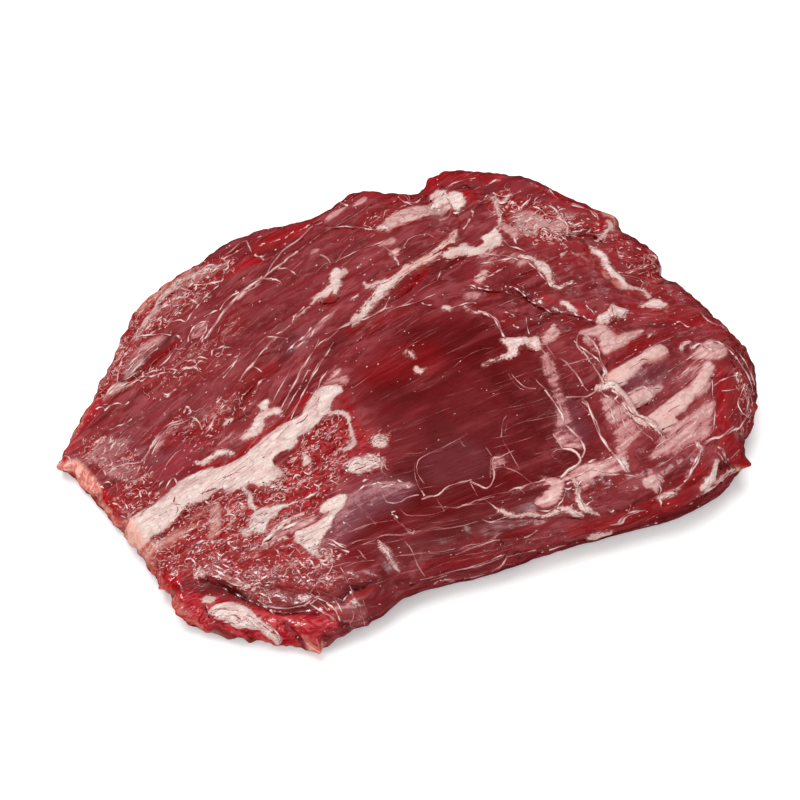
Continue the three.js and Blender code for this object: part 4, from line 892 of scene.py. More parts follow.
corner line: 618 272 0.5, 626 273 0.8, 634 271 0.8, 641 268 0.6
corner arc: 648 255 0.6, 654 256 0.9, 658 260 0.8, 660 267 0.7, 660 275 0.6
lump dash: 647 338 0.7, 651 335 1, 655 331 0.8
lump fold: 608 309 0.8, 610 315 1, 612 321 0.9
lump fold two: 614 306 0.8, 617 312 1, 619 319 0.8
lump ray: 620 318 0.9, 624 314 1.1, 628 310 0.8
white bead: 672 324 1, 673 326 1.2
crumb row: 677 322 0.8, 681 322 1, 686 326 0.7, 690 327 0.5
dark bank: 680 347 0.9, 682 343 1.1, 688 342 0.8
cluster: 693 348 1.2, 699 344 1.3, 705 347 1.6, 711 350 1.4
cluster two: 706 342 0.7, 714 341 0.8, 722 344 0.8, 727 350 0.8
loop: 574 341 0.7, 578 345 0.8, 584 349 0.8, 591 354 1, 597 359 0.9, 602 366 0.9, 605 373 1.1, 607 378 1.2
loop outer: 586 336 0.5, 592 341 0.7, 597 347 0.8, 600 354 0.6
trunk line: 612 390 1.2, 620 395 1.5, 626 403 1.4, 631 410 1.6, 637 416 1.8, 646 421 1.8, 655 427 1.6,
    663 434 1.3, 669 438 0.8
trunk under: 622 402 0.8, 628 411 1, 636 421 0.9, 645 427 0.9
trunk curl: 614 400 0.8, 618 396 1, 623 398 1
trunk top: 605 372 1.2, 602 380 1.4, 600 388 1.4, 604 394 1.2, 610 398 0.8
trunk strand: 607 398 0.5, 611 410 0.7, 615 424 0.7, 619 438 0.6
trunk strand two: 618 404 0.6, 622 418 0.7, 627 430 0.7, 634 436 0.5
trunk strand three: 586 401 0.8, 592 415 1, 597 429 1.2, 603 441 1, 611 451 1.2, 619 461 1.2, 626 470 1
web foot: 612 455 1, 618 460 1.4, 624 466 1.6, 628 471 1.2
web foot two: 627 452 0.8, 626 459 1, 625 466 0.9
white crumple: 587 463 0.9, 592 461 1.5, 597 458 1.2
white crumple two: 599 464 0.8, 605 461 0.9, 612 457 1
band crumple: 575 477 0.9, 583 473 1.1, 592 470 0.9, 602 471 0.8, 612 474 1
band crumple two: 567 484 1, 572 482 1.2, 577 485 1, 581 481 0.9
band crumple three: 562 487 0.9, 568 489 1, 572 487 0.8
strip two edge: 628 394 0.6, 638 389 0.8, 650 388 0.8, 660 387 0.5
film ray: 672 381 0.5, 682 374 0.7, 692 366 0.7, 703 360 0.6
film ray two: 668 372 0.4, 680 364 0.6, 692 356 0.6
strip four line: 655 449 0.6, 668 438 0.7, 684 425 0.7, 700 412 0.6
pink bead: 707 401 0.9, 709 401 1.1
rim bead: 735 374 0.9, 738 373 1.2
rim vein: 716 383 0.6, 722 380 0.8, 730 377 0.8, 737 375 0.7
rim vein two: 722 344 0.6, 731 352 0.8, 740 363 0.8, 748 376 0.8, 753 390 0.6
rim vein three: 736 350 0.5, 744 360 0.7, 750 372 0.7, 755 386 0.5
rim vein four: 745 384 0.6, 741 394 0.8, 738 404 0.8, 744 414 0.7, 748 404 0.6
rim vein five: 750 388 0.6, 748 402 0.8, 746 416 0.8, 740 428 1
rim vein six: 721 391 0.4, 731 390 0.6, 741 388 0.6, 748 384 0.5
end ridge: 700 446 0.8, 708 440 1, 716 438 1.2, 726 434 1.2, 734 430 1.4, 740 428 1.2
end flake: 697 444 1.4, 700 448 1.8, 701 452 1
end strand: 699 453 1.2, 696 460 1.2, 692 468 1, 689 476 0.9, 684 482 0.8
end arc: 718 447 0.9, 722 451 1.1, 725 457 1.2, 726 462 0.9
end arc inner: 719 452 0.5, 722 458 0.7, 723 463 0.6
low rim: 735 469 1, 727 474 1.2, 721 481 1.2, 712 487 1.2, 702 492 1, 694 499 1, 684 508 1, 670 516 0.9,
    655 522 0.9, 640 526 0.9, 624 530 1, 612 533 1
low rim left: 598 536 0.9, 580 541 0.8, 562 546 0.8, 545 551 0.8, 528 555 0.6
patch edge: 657 474 0.9, 660 477 1.3, 663 481 1
patch foot: 659 484 0.7, 661 490 0.8, 659 497 1.2, 661 503 1.4, 661 507 0.8
dash: 661 499 1, 668 496 1.5, 675 494 1.2
riser: 577 482 1, 578 490 1.2, 580 498 1.5, 584 506 1.4, 590 511 1.4, 597 514 0.9
riser curl: 574 503 0.7, 571 506 0.9, 574 508 0.8
riser spur: 586 507 0.9, 589 503 0.8, 593 500 0.5
stem edge: 540 516 0.9, 552 515 1, 564 511 1.2, 574 513 1.4, 583 517 1.2
lobe edge: 538 510 0.8, 547 511 1, 556 507 0.9, 563 499 0.9, 566 488 0.8
low beads: 608 509 0.9, 611 512 1.2, 614 510 0.8
low vein: 618 523 0.9, 623 517 1, 629 513 1.1, 637 511 0.9, 646 510 0.7
lobe top: 131 341 0.6, 140 336 0.9, 150 335 0.9, 160 334 0.9, 171 335 0.6
lobe tip: 119 368 0.6, 122 360 1.2, 126 354 1.5, 128 351 0.8
lobe left: 117 384 0.5, 118 375 0.8, 120 367 0.8
lobe foot: 104 398 0.8, 110 389 1.2, 118 383 1.2, 126 377 1, 135 370 0.7
lobe line: 128 370 0.5, 136 361 0.7, 145 352 0.7, 155 344 0.6
under groove: 122 392 0.5, 130 385 0.8, 139 379 0.8, 150 372 1, 160 370 0.8, 172 369 0.9, 178 371 0.5
under groove loops: 137 379 0.6, 142 381 0.9, 147 377 0.8, 153 376 1, 159 373 0.7
arc: 178 373 0.5, 182 369 0.9, 188 367 1, 194 367 0.9, 199 371 0.6
long pale: 159 367 0.6, 167 360 0.9, 173 352 0.9, 177 344 0.6
crumple: 180 357 0.7, 186 361 0.5, 193 360 0.7, 200 357 0.9, 208 359 0.6
crumple two: 196 366 0.6, 200 361 0.8, 206 363 0.5
crumple three: 211 356 0.6, 213 350 1, 219 348 0.8, 224 345 0.9
loop far: 165 328 0.6, 171 322 0.9, 179 320 0.9, 185 322 0.7
fork: 158 330 0.5, 161 323 0.8, 162 318 1.3, 166 321 1
fork side: 155 311 0.8, 162 308 0.9, 168 305 1, 172 309 0.7
blotch: 176 300 0.7, 180 297 1.3, 184 299 0.8
blotch two: 184 296 0.7, 190 299 1.2, 196 302 1.1
top line far: 194 285 0.7, 203 284 0.9, 212 283 1.2, 221 281 1
top line two: 181 288 0.5, 190 291 0.7, 196 294 0.6
top line three: 196 294 0.8, 204 294 1, 208 294 0.6
hook: 221 258 0.6, 227 262 1, 228 268 0.9, 223 270 0.9
lobe round: 188 342 0.6, 189 335 0.8, 193 328 0.8, 199 323 0.8, 206 321 0.7
lobe round right: 194 338 0.5, 201 336 0.8, 206 330 0.8, 207 323 0.6
beads: 209 329 0.8, 208 334 1.2, 205 339 0.9
crinkle left: 104 411 0.7, 110 406 1.1, 117 403 0.8, 124 405 0.6, 129 402 0.8
crinkle left two: 96 409 0.8, 102 407 1, 106 411 0.7
crinkle left three: 110 430 0.6, 118 426 0.9, 126 423 0.8, 132 419 0.6
spot: 164 396 1, 167 397 1.4, 172 392 0.9, 176 389 0.6
ring far: 184 413 0.9, 187 408 1.2, 191 411 1, 187 415 0.8
crumple low: 216 403 0.8, 221 399 1.2, 226 402 0.7
crumple low two: 220 410 0.7, 225 405 1, 230 409 0.8
end film: 104 452 0.8, 107 446 1.1, 111 441 0.9
end film two: 109 453 0.6, 112 447 1, 116 442 0.8
end film three: 93 444 1, 98 441 1.2, 103 437 0.9
end film four: 115 456 0.6, 119 449 0.9, 124 443 0.6
end loop: 97 463 0.7, 100 459 0.9, 106 458 0.8, 112 463 1, 107 467 1.1, 103 464 0.8
end loop low: 99 465 0.8, 103 470 1, 106 475 0.8
end line: 108 473 0.5, 114 468 0.9, 121 463 1
end ring: 141 497 0.9, 140 492 1.1, 145 490 1, 147 494 0.6
end bead: 131 519 1, 135 517 1.4
end bead two: 122 516 0.8, 126 518 1.2
end stroke: 102 484 0.6, 108 482 0.8, 112 485 0.6
end stroke two: 112 503 0.7, 118 505 1.1, 121 507 0.8
end stroke three: 122 500 0.5, 126 505 0.8, 128 510 0.6
end stroke four: 131 504 0.5, 134 498 0.8, 138 496 0.6
end stroke five: 150 498 0.9, 149 494 1.2, 152 491 0.7
by the band: 165 490 0.6, 169 482 0.9, 174 478 0.8, 177 484 0.8, 172 489 0.7
by the band two: 158 489 0.7, 160 484 0.9, 164 480 0.6
by the band three: 176 475 0.6, 180 471 0.9, 184 467 0.6
field line: 286 506 0.5, 296 502 1, 304 499 1.2, 312 495 1.4, 318 492 1.6
field line two: 262 543 1.6, 270 536 2, 278 531 2, 290 526 1.8, 300 521 1.6, 314 515 1
field line three: 275 529 1, 283 522 1.4, 294 518 1.4, 302 515 0.8
field line four: 281 537 1, 288 539 0.8, 296 536 0.9
field line five: 243 554 0.8, 250 550 1.4, 258 547 1
field hook: 228 541 1.4, 230 545 1.3, 235 548 1, 242 548 0.8
field hook two: 192 546 1, 198 543 1.6, 206 540 0.9
field hook three: 196 553 1, 200 550 1.4, 204 547 0.9
field hook four: 186 560 0.9, 190 558 1.1, 195 562 1, 201 567 1
field hook five: 216 552 0.8, 220 555 1, 226 553 0.7
field hook six: 274 548 0.8, 278 552 1, 279 557 0.6
field long: 186 532 0.8, 194 528 1.1, 203 526 1, 206 528 0.7
field long two: 205 501 1, 210 504 1.2, 214 509 0.9
field long three: 222 518 0.6, 228 514 0.9, 236 516 0.7
field bead: 212 540 1, 213 543 1.2, 217 541 0.8
field bead two: 236 505 1.1, 239 502 1.4, 243 505 0.9
field arc: 280 488 0.7, 286 490 1, 292 488 0.8
field arc two: 293 480 0.8, 296 475 1, 301 476 0.7
field arc three: 314 484 0.7, 319 487 1.1, 318 491 0.8
field arc four: 284 480 0.9, 282 486 1.1, 278 489 0.8
field arc five: 303 471 0.7, 308 474 0.9, 314 471 0.7
band lobe: 266 490 0.8, 272 487 1.2, 279 486 0.8
patch curl: 318 559 1, 325 561 1.3, 331 557 1.2, 332 550 0.8, 326 548 0.6
patch curl inner: 321 563 0.8, 328 565 0.9, 335 562 0.7
patch curl two: 300 562 0.7, 304 566 1.1, 309 571 0.8
patch curl three: 307 558 0.8, 312 562 1.2, 315 567 0.8
patch curl four: 296 568 1, 299 572 1.2, 302 577 0.6
patch tail: 320 543 1, 326 539 1.2, 334 541 1, 341 546 1.1, 347 548 1
fold knuckle: 196 574 0.9, 200 571 1.4, 204 573 1
""")

# Small red marks in the fat and along the edges
BLUSHES = traced("""
ledge wrinkle: 211 611 0.3, 218 609 0.5, 226 608 0.5, 234 608 0.3
ledge wrinkle two: 231 614 0.5, 236 616 1.3, 240 619 1, 243 621 0.4
ledge wrinkle three: 224 619 0.3, 232 619 0.4, 240 622 0.4, 247 625 0.3
ledge wrinkle four: 244 616 0.3, 250 621 0.5, 256 627 0.5, 262 632 0.3
ledge wrinkle five: 258 622 0.4, 264 626 0.9, 270 631 1, 276 636 0.7, 279 640 0.4
glossy wrinkle: 351 466 0.5, 357 463 0.9, 363 465 0.7, 368 462 0.5
glossy wrinkle two: 368 460 0.5, 374 461 0.9, 379 463 0.7
glossy wrinkle three: 355 470 0.5, 361 468 0.8, 366 466 0.5
striped wrinkle: 374 440 0.6, 380 438 0.8, 386 440 0.6
striped wrinkle two: 376 444 0.5, 382 443 0.7
torn blush: 504 221 1.2, 508 223 2.2, 513 226 1.6
seam flesh: 433 254 1, 440 251 1.6, 447 247 2.2, 452 243 1.4
seam vein: 392 292 0.5, 402 281 0.8, 414 270 0.8, 426 265 0.6
lump vein: 612 306 0.5, 613 313 0.8, 615 320 0.6
lump vein two: 604 315 0.4, 606 320 0.6
strip crack: 638 362 0.4, 643 359 0.7, 648 360 0.5
strip crack two: 668 412 0.4, 674 408 0.6, 680 405 0.4
one: 171 504 0.6, 175 504 1.2, 181 505 0.6
two: 175 497 0.5, 174 502 0.9, 178 509 0.7, 176 513 0.5
three: 200 494 0.4, 208 491 0.9, 216 488 0.6
four: 222 478 0.4, 230 475 0.7, 238 472 0.4
five: 150 522 0.4, 162 514 0.5, 172 509 0.4
six: 262 458 0.4, 268 456 0.9, 272 452 0.5
seven: 296 424 0.4, 304 420 0.7, 308 414 0.4
""")

# Painted shade: dark ribbons in the cracks and narrow shadows under edges
CRACK_SHADES = traced("""
low edge: 724 480 0.6, 718 487 0.9, 708 494 0.8, 701 498 0.6
low edge two: 690 508 0.6, 677 516 0.8, 663 523 0.6, 650 527 0.6, 641 529 0.5
trunk spot: 616 396 0.9, 618 397 1.3
trunk spot two: 617 407 0.7, 619 408 1
strip hole: 669 423 0.6, 673 421 1.4, 676 421 0.9
rim gap one: 165 299 0.5, 169 296 0.9, 173 293 0.6
rim gap two: 135 338 0.5, 140 333 0.9, 146 329 0.6
rim gap three: 150 324 0.5, 155 321 0.8, 160 313 0.9, 163 307 0.6
rim gap four: 172 311 0.5, 178 310 0.8, 183 306 0.8, 188 303 0.5
rim gap five: 178 286 0.5, 184 286 0.9, 190 289 0.9, 196 287 0.6
rim gap six: 201 277 0.5, 206 280 0.9, 213 279 0.8, 218 277 0.5
torn one: 519 213 0.5, 525 209 0.9, 530 205 0.9, 534 203 0.6
torn two: 534 211 0.5, 540 208 1, 545 211 1, 548 215 0.6
torn three: 520 224 0.5, 523 229 0.8, 521 233 0.6
torn four: 538 237 0.6, 537 232 1, 541 228 1, 547 229 0.6
torn five: 551 230 0.6, 552 236 1, 548 240 0.9, 542 240 0.6
torn six: 554 234 0.5, 560 238 0.8, 563 242 0.6
torn seven: 557 232 0.5, 563 236 0.8, 566 240 0.6
torn eight: 560 229 0.5, 565 233 0.8, 569 237 0.6
torn nine: 566 222 0.5, 572 223 0.8, 578 221 0.6
torn ten: 533 220 0.4, 537 217 0.7, 541 220 0.7, 542 224 0.5
torn eleven: 527 225 0.4, 530 223 0.7, 534 226 0.7, 534 230 0.5
torn twelve: 505 206 0.5, 508 212 0.8, 512 216 0.6
torn thirteen: 543 216 0.4, 548 219 0.7, 553 218 0.5
torn fourteen: 508 241 0.5, 513 246 0.8, 520 247 0.5
torn fifteen: 523 236 0.5, 529 238 0.9, 536 238 0.6
flap: 470 290 0.5, 480 291 0.8, 492 292 1.2, 502 292 1.2, 512 289 1.2, 520 293 1.6, 527 299 2.2,
    535 305 2.2, 544 310 1.5, 554 314 1.2, 566 314 1.6, 578 317 1.8, 590 322 1.5, 598 325 0.7
flap gap: 505 278 0.4, 512 283 0.5, 520 288 0.4
fold: 206 580 0.6, 214 583 1.6, 222 586 2.6, 230 590 3.4, 238 594 3.4, 245 599 2.2, 252 603 0.8
fold low: 254 604 0.5, 264 609 0.8, 276 613 0.8, 292 614 0.9, 306 612 0.6
fold right: 312 613 0.5, 322 617 0.8, 330 622 0.7
corner: 344 597 1, 352 591 1.6, 362 588 1.6, 372 583 1
rim groove: 124 384 0.6, 136 377 1, 150 366 1, 162 356 0.9, 172 348 0.6
lump: 318 302 0.8, 326 304 1.6, 334 302 1.8, 339 297 1.2
lump tail: 310 309 0.6, 304 316 0.8, 298 320 0.6
seam pocket: 394 300 0.8, 402 296 1.4, 408 291 1.4, 416 283 1
seam pocket two: 408 288 0.8, 416 278 1, 424 270 0.8
seam: 366 318 0.6, 374 309 0.9, 384 299 0.8, 394 289 0.6
seam far: 432 264 0.5, 444 260 0.8, 460 259 0.6, 478 260 0.5
top notch: 424 194 1, 430 200 1.4, 436 206 1
top crease: 462 184 0.8, 470 188 1, 476 194 0.8
top crease two: 480 204 0.8, 484 198 1.2, 492 192 0.8
top crease three: 456 214 0.6, 460 222 0.8, 458 230 0.6
far notch: 576 238 0.8, 586 235 1.4, 596 238 1.6, 604 244 1
far edge: 582 244 0.6, 586 254 0.9, 590 264 0.7
back crease: 322 224 0.8, 334 228 1, 348 228 0.9, 360 232 0.6
back crease two: 266 252 0.6, 280 250 0.9, 292 244 0.8, 304 238 0.6
left groove: 228 424 0.6, 240 404 0.9, 252 388 0.9, 264 374 0.6
left hollow: 170 440 0.6, 182 430 0.9, 196 424 0.7
left crease: 106 402 0.5, 116 392 0.9, 128 386 0.7
left crease two: 132 410 0.5, 142 398 0.8, 154 388 0.6
band foot: 150 541 0.6, 166 530 0.9, 182 518 0.9, 196 507 0.7
band foot two: 206 501 0.6, 214 497 0.9, 226 495 0.7
band notch: 274 462 0.6, 280 459 1.1, 288 454 0.8
band crack: 270 470 0.4, 274 463 0.6, 271 456 0.5
band curl: 262 482 0.5, 272 484 0.8, 284 478 0.7, 286 470 0.5
round patch: 316 424 0.5, 318 434 0.9, 326 446 0.9, 336 450 0.6
glossy: 350 474 0.7, 362 474 1, 376 472 1, 385 470 0.6
front side: 404 586 0.6, 430 583 1, 456 581 1.1, 480 578 1, 500 568 0.7
front side two: 506 560 0.7, 524 558 1, 548 554 1, 572 548 0.9, 588 543 0.6
front side three: 600 541 0.6, 620 536 0.9, 644 531 0.9, 668 521 0.8, 690 508 0.6
front hollow: 502 541 0.6, 506 548 0.9, 508 553 0.6
end pocket: 716 474 0.6, 722 468 1.2, 730 466 1.6, 736 468 1
end side: 704 470 0.5, 700 478 0.9, 692 486 0.7
strip one: 612 386 0.5, 628 380 0.9, 642 370 0.9, 656 362 0.6
strip two: 630 411 0.5, 642 407 0.8, 654 400 0.6
strip three: 656 432 0.6, 668 427 0.9, 678 422 0.6
lobe: 536 507 0.5, 546 511 0.8, 556 508 0.7, 563 498 0.6
net stem: 560 515 0.6, 572 518 0.9, 584 520 0.7
middle lump: 508 358 0.5, 518 357 0.9, 524 350 0.7, 534 352 0.8, 542 350 0.5
right lump: 600 326 0.6, 612 322 0.9, 624 320 0.7
rim one: 728 358 0.5, 738 372 0.8, 744 390 0.7, 746 408 0.5
rim two: 706 378 0.4, 722 377 0.8, 736 373 0.6
ledge split: 284 624 0.6, 292 632 1, 299 641 1.2, 304 648 0.8
ledge notch: 246 634 0.7, 252 640 1.2, 257 643 0.8
ledge edge: 206 608 0.6, 208 616 0.9, 216 624 0.8
corner fold: 335 614 0.5, 342 622 0.9, 350 629 0.7
""")

# Direction of the fibres in the view: pixels across and down, degrees above the level, anticlockwise
GRAIN = np.array([
    (90, 440, 52), (150, 400, 48), (160, 320, 44), (230, 380, 50), (250, 300, 40), (290, 400, 54),
    (320, 330, 42), (340, 240, 34), (430, 230, 30), (500, 190, 18), (380, 320, 34), (420, 380, 26),
    (470, 320, 24), (480, 420, 17), (560, 260, 12), (620, 240, -24), (660, 290, -20), (540, 400, 16),
    (600, 340, 24), (660, 380, 33), (700, 350, 30), (680, 430, 34), (745, 390, -68), (720, 450, 46),
    (640, 500, 24), (560, 540, 14), (460, 550, 14), (420, 500, 10), (350, 540, 22), (300, 500, 30),
    (220, 520, 38), (250, 570, 22), (180, 560, 30), (150, 520, 38), (210, 470, 36), (280, 440, 38),
    (250, 625, -28), (310, 625, -30),
], float)
# Reach of one such reading, in pixels, and the height of the face that it is read on
GRAIN_REACH = 38
GRAIN_HEIGHT = 26 * MM

# Depth given to places that are out of a mark's reach, in pixels
FAR = 60.0
# Keeps a division by a length of zero harmless
TINY = 1e-9

def curve(points, closed=False, steps=3):
    """Points along a smooth curve through the given ones."""
    given = np.array(points, float)
    count = len(given)
    if count < 3:
        return given
    made = []
    for k in range(count if closed else count - 1):
        if closed:
            a, b, c, d = (given[(k + n) % count] for n in (-1, 0, 1, 2))
        else:
            a, b, c, d = given[max(k - 1, 0)], given[k], given[k + 1], given[min(k + 2, count - 1)]
        for t in np.arange(steps) / steps:
            bend = t * (2 * a - 5 * b + 4 * c - d + t * (3 * (b - c) + d - a))
            made.append(b + 0.5 * t * (c - a + bend))
    if not closed:
        made.append(given[-1])
    return np.array(made)


def segment_gap(at, start, end):
    """Distance of places from a segment, and the share of the way along it."""
    run = end - start
    share = np.clip(((at - start) @ run) / max(run @ run, TINY), 0, 1)
    gap = at - start - share[:, None] * run
    return np.hypot(gap[:, 0], gap[:, 1]), share


def near(at, points, margin):
    """Numbers of the places inside a box round the points."""
    low = points[:, :2].min(0) - margin
    high = points[:, :2].max(0) + margin
    return np.nonzero(((at > low) & (at < high)).all(1))[0]


def line_depth(at, points, reach):
    """How far inside a line of varying half width each place is, in pixels, and negative outside it."""
    made = curve(points)
    depth = np.full(len(at), -FAR)
    close = near(at, made, reach + made[:, 2].max())
    best = np.full(len(close), -FAR)
    for start, end in zip(made, made[1:]):
        gap, share = segment_gap(at[close], start[:2], end[:2])
        best = np.maximum(best, start[2] + share * (end[2] - start[2]) - gap)
    depth[close] = best
    return depth


def area_depth(at, points, reach):
    """How far inside an outline each place is, in pixels, and negative outside it."""
    made = curve(points, closed=True)
    depth = np.full(len(at), -FAR)
    close = near(at, made, reach)
    best = np.full(len(close), FAR)
    inside = np.zeros(len(close), bool)
    for start, end in zip(made, np.roll(made, -1, 0)):
        gap, _ = segment_gap(at[close], start, end)
        best = np.minimum(best, gap)
        crosses = (start[1] > at[close, 1]) != (end[1] > at[close, 1])
        slope = (end[0] - start[0]) / (end[1] - start[1] if end[1] != start[1] else TINY)
        inside ^= crosses & (at[close, 0] < start[0] + (at[close, 1] - start[1]) * slope)
    depth[close] = np.where(inside, best, -best)
    return depth


def ease(value, low, high):
    """0 below low, 1 above high and smooth between them."""
    t = np.clip((value - low) / (high - low), 0, 1)
    return t * t * (3 - 2 * t)


def gathered(at, marks, depth_of):
    """The strongest of several soft marks at each place, from 0 to 1."""
    total = np.zeros(len(at))
    for _, points, softness, strength in marks:
        depth = depth_of(at, points, softness)
        total = np.maximum(total, strength * ease(depth, -softness, softness))
    return total


def grain_angle(at):
    """Direction of the fibres in the view at each place, in radians."""
    doubled = np.radians(2 * GRAIN[:, 2])
    gap = ((at[:, None, :] - GRAIN[None, :, :2]) ** 2).sum(2)
    weight = np.exp(-gap / (2 * GRAIN_REACH**2)) + TINY / (1 + gap)
    return 0.5 * np.arctan2(weight @ np.sin(doubled), weight @ np.cos(doubled))


# Coordinates along and across the fibres
GRID_STEP = 4 * MM
GRID_REACH = (184 * MM, 164 * MM)
GRID_ROUNDS = 3000
GRID_PULL = 0.6


def unrolled(rise_x, rise_y, first):
    """The field whose slope comes nearest to the one given, by repeated averaging over neighbours."""
    across = (rise_x[1:] + rise_x[:-1]) * GRID_STEP / 2
    along = (rise_y[:, 1:] + rise_y[:, :-1]) * GRID_STEP / 2
    neighbours = np.full(first.shape, 4.0)
    neighbours[[0, -1]] -= 1
    neighbours[:, [0, -1]] -= 1
    field = first.copy()
    for _ in range(GRID_ROUNDS):
        total = np.zeros_like(field)
        total[1:] += field[:-1] + across
        total[:-1] += field[1:] - across
        total[:, 1:] += field[:, :-1] + along
        total[:, :-1] += field[:, 1:] - along
        field = (1 - GRID_PULL) * field + GRID_PULL * total / neighbours
    return field


def grid_share(values, line):
    """Step of the grid line below each value, and the share of the way to the next."""
    place = np.clip((values - line[0]) / GRID_STEP, 0, len(line) - 1 - TINY)
    step = place.astype(int)
    return step, place - step


def grain_coordinates(places):
    """Millimetres along the fibres, across them and up, at each place."""
    xs, ys = (np.arange(-reach, reach + GRID_STEP, GRID_STEP) for reach in GRID_REACH)
    grid_x, grid_y = np.meshgrid(xs, ys, indexing="ij")
    nodes = np.column_stack((grid_x.ravel(), grid_y.ravel(), np.full(grid_x.size, GRAIN_HEIGHT)))
    angle = grain_angle(view.pixels(nodes)).reshape(grid_x.shape)
    run_x = np.cos(angle)
    run_y = np.sin(angle) / math.sin(ELEVATION)
    size = np.hypot(run_x, run_y)
    run_x, run_y = run_x / size, run_y / size
    i, s = grid_share(places[:, 0], xs)
    j, t = grid_share(places[:, 1], ys)
    made = []
    for rise_x, rise_y in ((run_x, run_y), (-run_y, run_x)):
        first = grid_x * rise_x.mean() + grid_y * rise_y.mean()
        field = unrolled(rise_x, rise_y, first)
        low = (1 - s) * field[i, j] + s * field[i + 1, j]
        high = (1 - s) * field[i, j + 1] + s * field[i + 1, j + 1]
        made.append(((1 - t) * low + t * high) / MM)
    return np.column_stack((made[0], made[1], places[:, 2] / MM))


# The flank's own surface
SUBDIVISIONS = 2
MERGE_GAP = 0.001 * MM
FLOOR_EDGE = 0.3 * MM
FULLY_SHOWN = 0.18
# Heights that the marks add, at their strongest
FAT_RISE = 0.45 * MM
RIDGE_RISE = 0.85 * MM
TORN_RISE = 0.7 * MM
# How far outside a mark it is still reckoned with, in pixels
FAT_REACH = 8
CREASE_REACH = 6
PIT_REACH = 4
# Depths inside a mark, in pixels, over which its effect grows from nothing to full
FAT_GROWS = (-1.2, 1.5)
CREASE_GROWS = (-4, 2.5)
PIT_GROWS = (-3, 1.5)
# Depth in millimetres from which a crease's painted shade is at its darkest
DARK_CREASE = 2
# Lumps: height and size in millimetres, seed of the noise
SLOW_LUMPS = (0.7, 14, 1)
MUSCLE_LUMPS = (0.5, 6, 2)
SMALL_LUMPS = (0.3, 3.2, 5)
RIM_LUMPS = (1.6, 4.5, 8)
SMALL_RIM_LUMPS = (0.7, 2.4, 9)
# Lumps drawn out along the fibres: millimetres along them, across them and up
BUNDLE_SIZE = np.array((34, 5.2, 5.2))
FINE_BUNDLE_SIZE = np.array((18, 2.8, 2.8))
TORN_SIZE = np.array((5.0, 3.2, 3.2))
SEED_SHIFT = (7.3, 3.1, 5.7)


def coarse_quads(node):
    """The node's surface with its triangles joined into quads, as a new mesh."""
    worked = bmesh.new()
    worked.from_mesh(node.data)
    bmesh.ops.remove_doubles(worked, verts=worked.verts, dist=MERGE_GAP)
    bmesh.ops.join_triangles(
        worked, faces=worked.faces, angle_face_threshold=math.pi, angle_shape_threshold=math.pi
    )
    coarse = bpy.data.meshes.new("coarse")
    worked.to_mesh(coarse)
    worked.free()
    return coarse


def fine_surface(node):
    """The node's surface, smoothed, as places, outward directions and faces."""
    coarse = coarse_quads(node)
    holder = bpy.data.objects.new("holder", coarse)
    scene.collection.objects.link(holder)
    smoothing = holder.modifiers.new("smoothing", "SUBSURF")
    smoothing.levels = SUBDIVISIONS
    shaped = holder.evaluated_get(bpy.context.evaluated_depsgraph_get()).to_mesh()
    places = np.empty(len(shaped.vertices) * 3)
    shaped.vertices.foreach_get("co", places)
    outward = np.empty(len(shaped.vertices) * 3)
    shaped.vertex_normals.foreach_get("vector", outward)
    faces = [tuple(face.vertices) for face in shaped.polygons]
    bpy.data.objects.remove(holder)
    bpy.data.meshes.remove(coarse)
    return places.reshape(-1, 3), outward.reshape(-1, 3), faces


def noise_at(places, scale, seed):
    """Smooth noise from -1 to 1 at each place."""
    shift = Vector([seed * step for step in SEED_SHIFT])
    return np.array([noise.noise(Vector(place) / scale + shift) for place in places])


def lumps(places, kind):
    """Height of a kind of lump at each place, in metres."""
    high, size, seed = kind
    return high * MM * noise_at(places, size * MM, seed)


def relief(places, pixels, shown, marks, grain):
    """Height to add to the surface, in metres."""
    ragged = gathered(pixels, RAGGED, line_depth)
    height = ragged * (lumps(places, RIM_LUMPS) + lumps(places, SMALL_RIM_LUMPS))
    for _, points, depth in CREASES:
        inside = line_depth(pixels, points, CREASE_REACH)
        height -= depth * MM * ease(inside, *CREASE_GROWS) * shown
    height += FAT_RISE * ease(marks["fat"], *FAT_GROWS)
    height += lumps(places, SLOW_LUMPS)
    height += lumps(places, MUSCLE_LUMPS) * (0.4 + 0.6 * marks["rough"])
    height += lumps(places, SMALL_LUMPS) * marks["rough"]
    height += RIDGE_RISE * marks["ridge"] * (0.25 + 0.75 * marks["rough"])
    torn = np.clip(marks["crinkle"] + 0.5 * marks["cut"], 0, 1)
    return height + TORN_RISE * noise_at(grain / TORN_SIZE, 1, 4) * torn


def fat_depth(pixels):
    """How far inside the nearest fat each place is, in pixels."""
    fat = np.full(len(pixels), -FAR)
    for marks, depth_of in ((FAT_AREAS, area_depth), (FAT_LINES, line_depth)):
        for _, points in marks:
            fat = np.maximum(fat, depth_of(pixels, points, FAT_REACH))
    return np.clip(fat, -FAT_REACH, FAT_REACH)


def pits_at(pixels):
    """How deep in a crease each place is, from 0 to 1, which sets the shade painted there."""
    pits = np.zeros(len(pixels))
    for _, points, depth in CREASES:
        if depth > 0:
            inside = ease(line_depth(pixels, points, PIT_REACH), *PIT_GROWS)
            pits = np.maximum(pits, min(depth / DARK_CREASE, 1) * inside)
    return pits


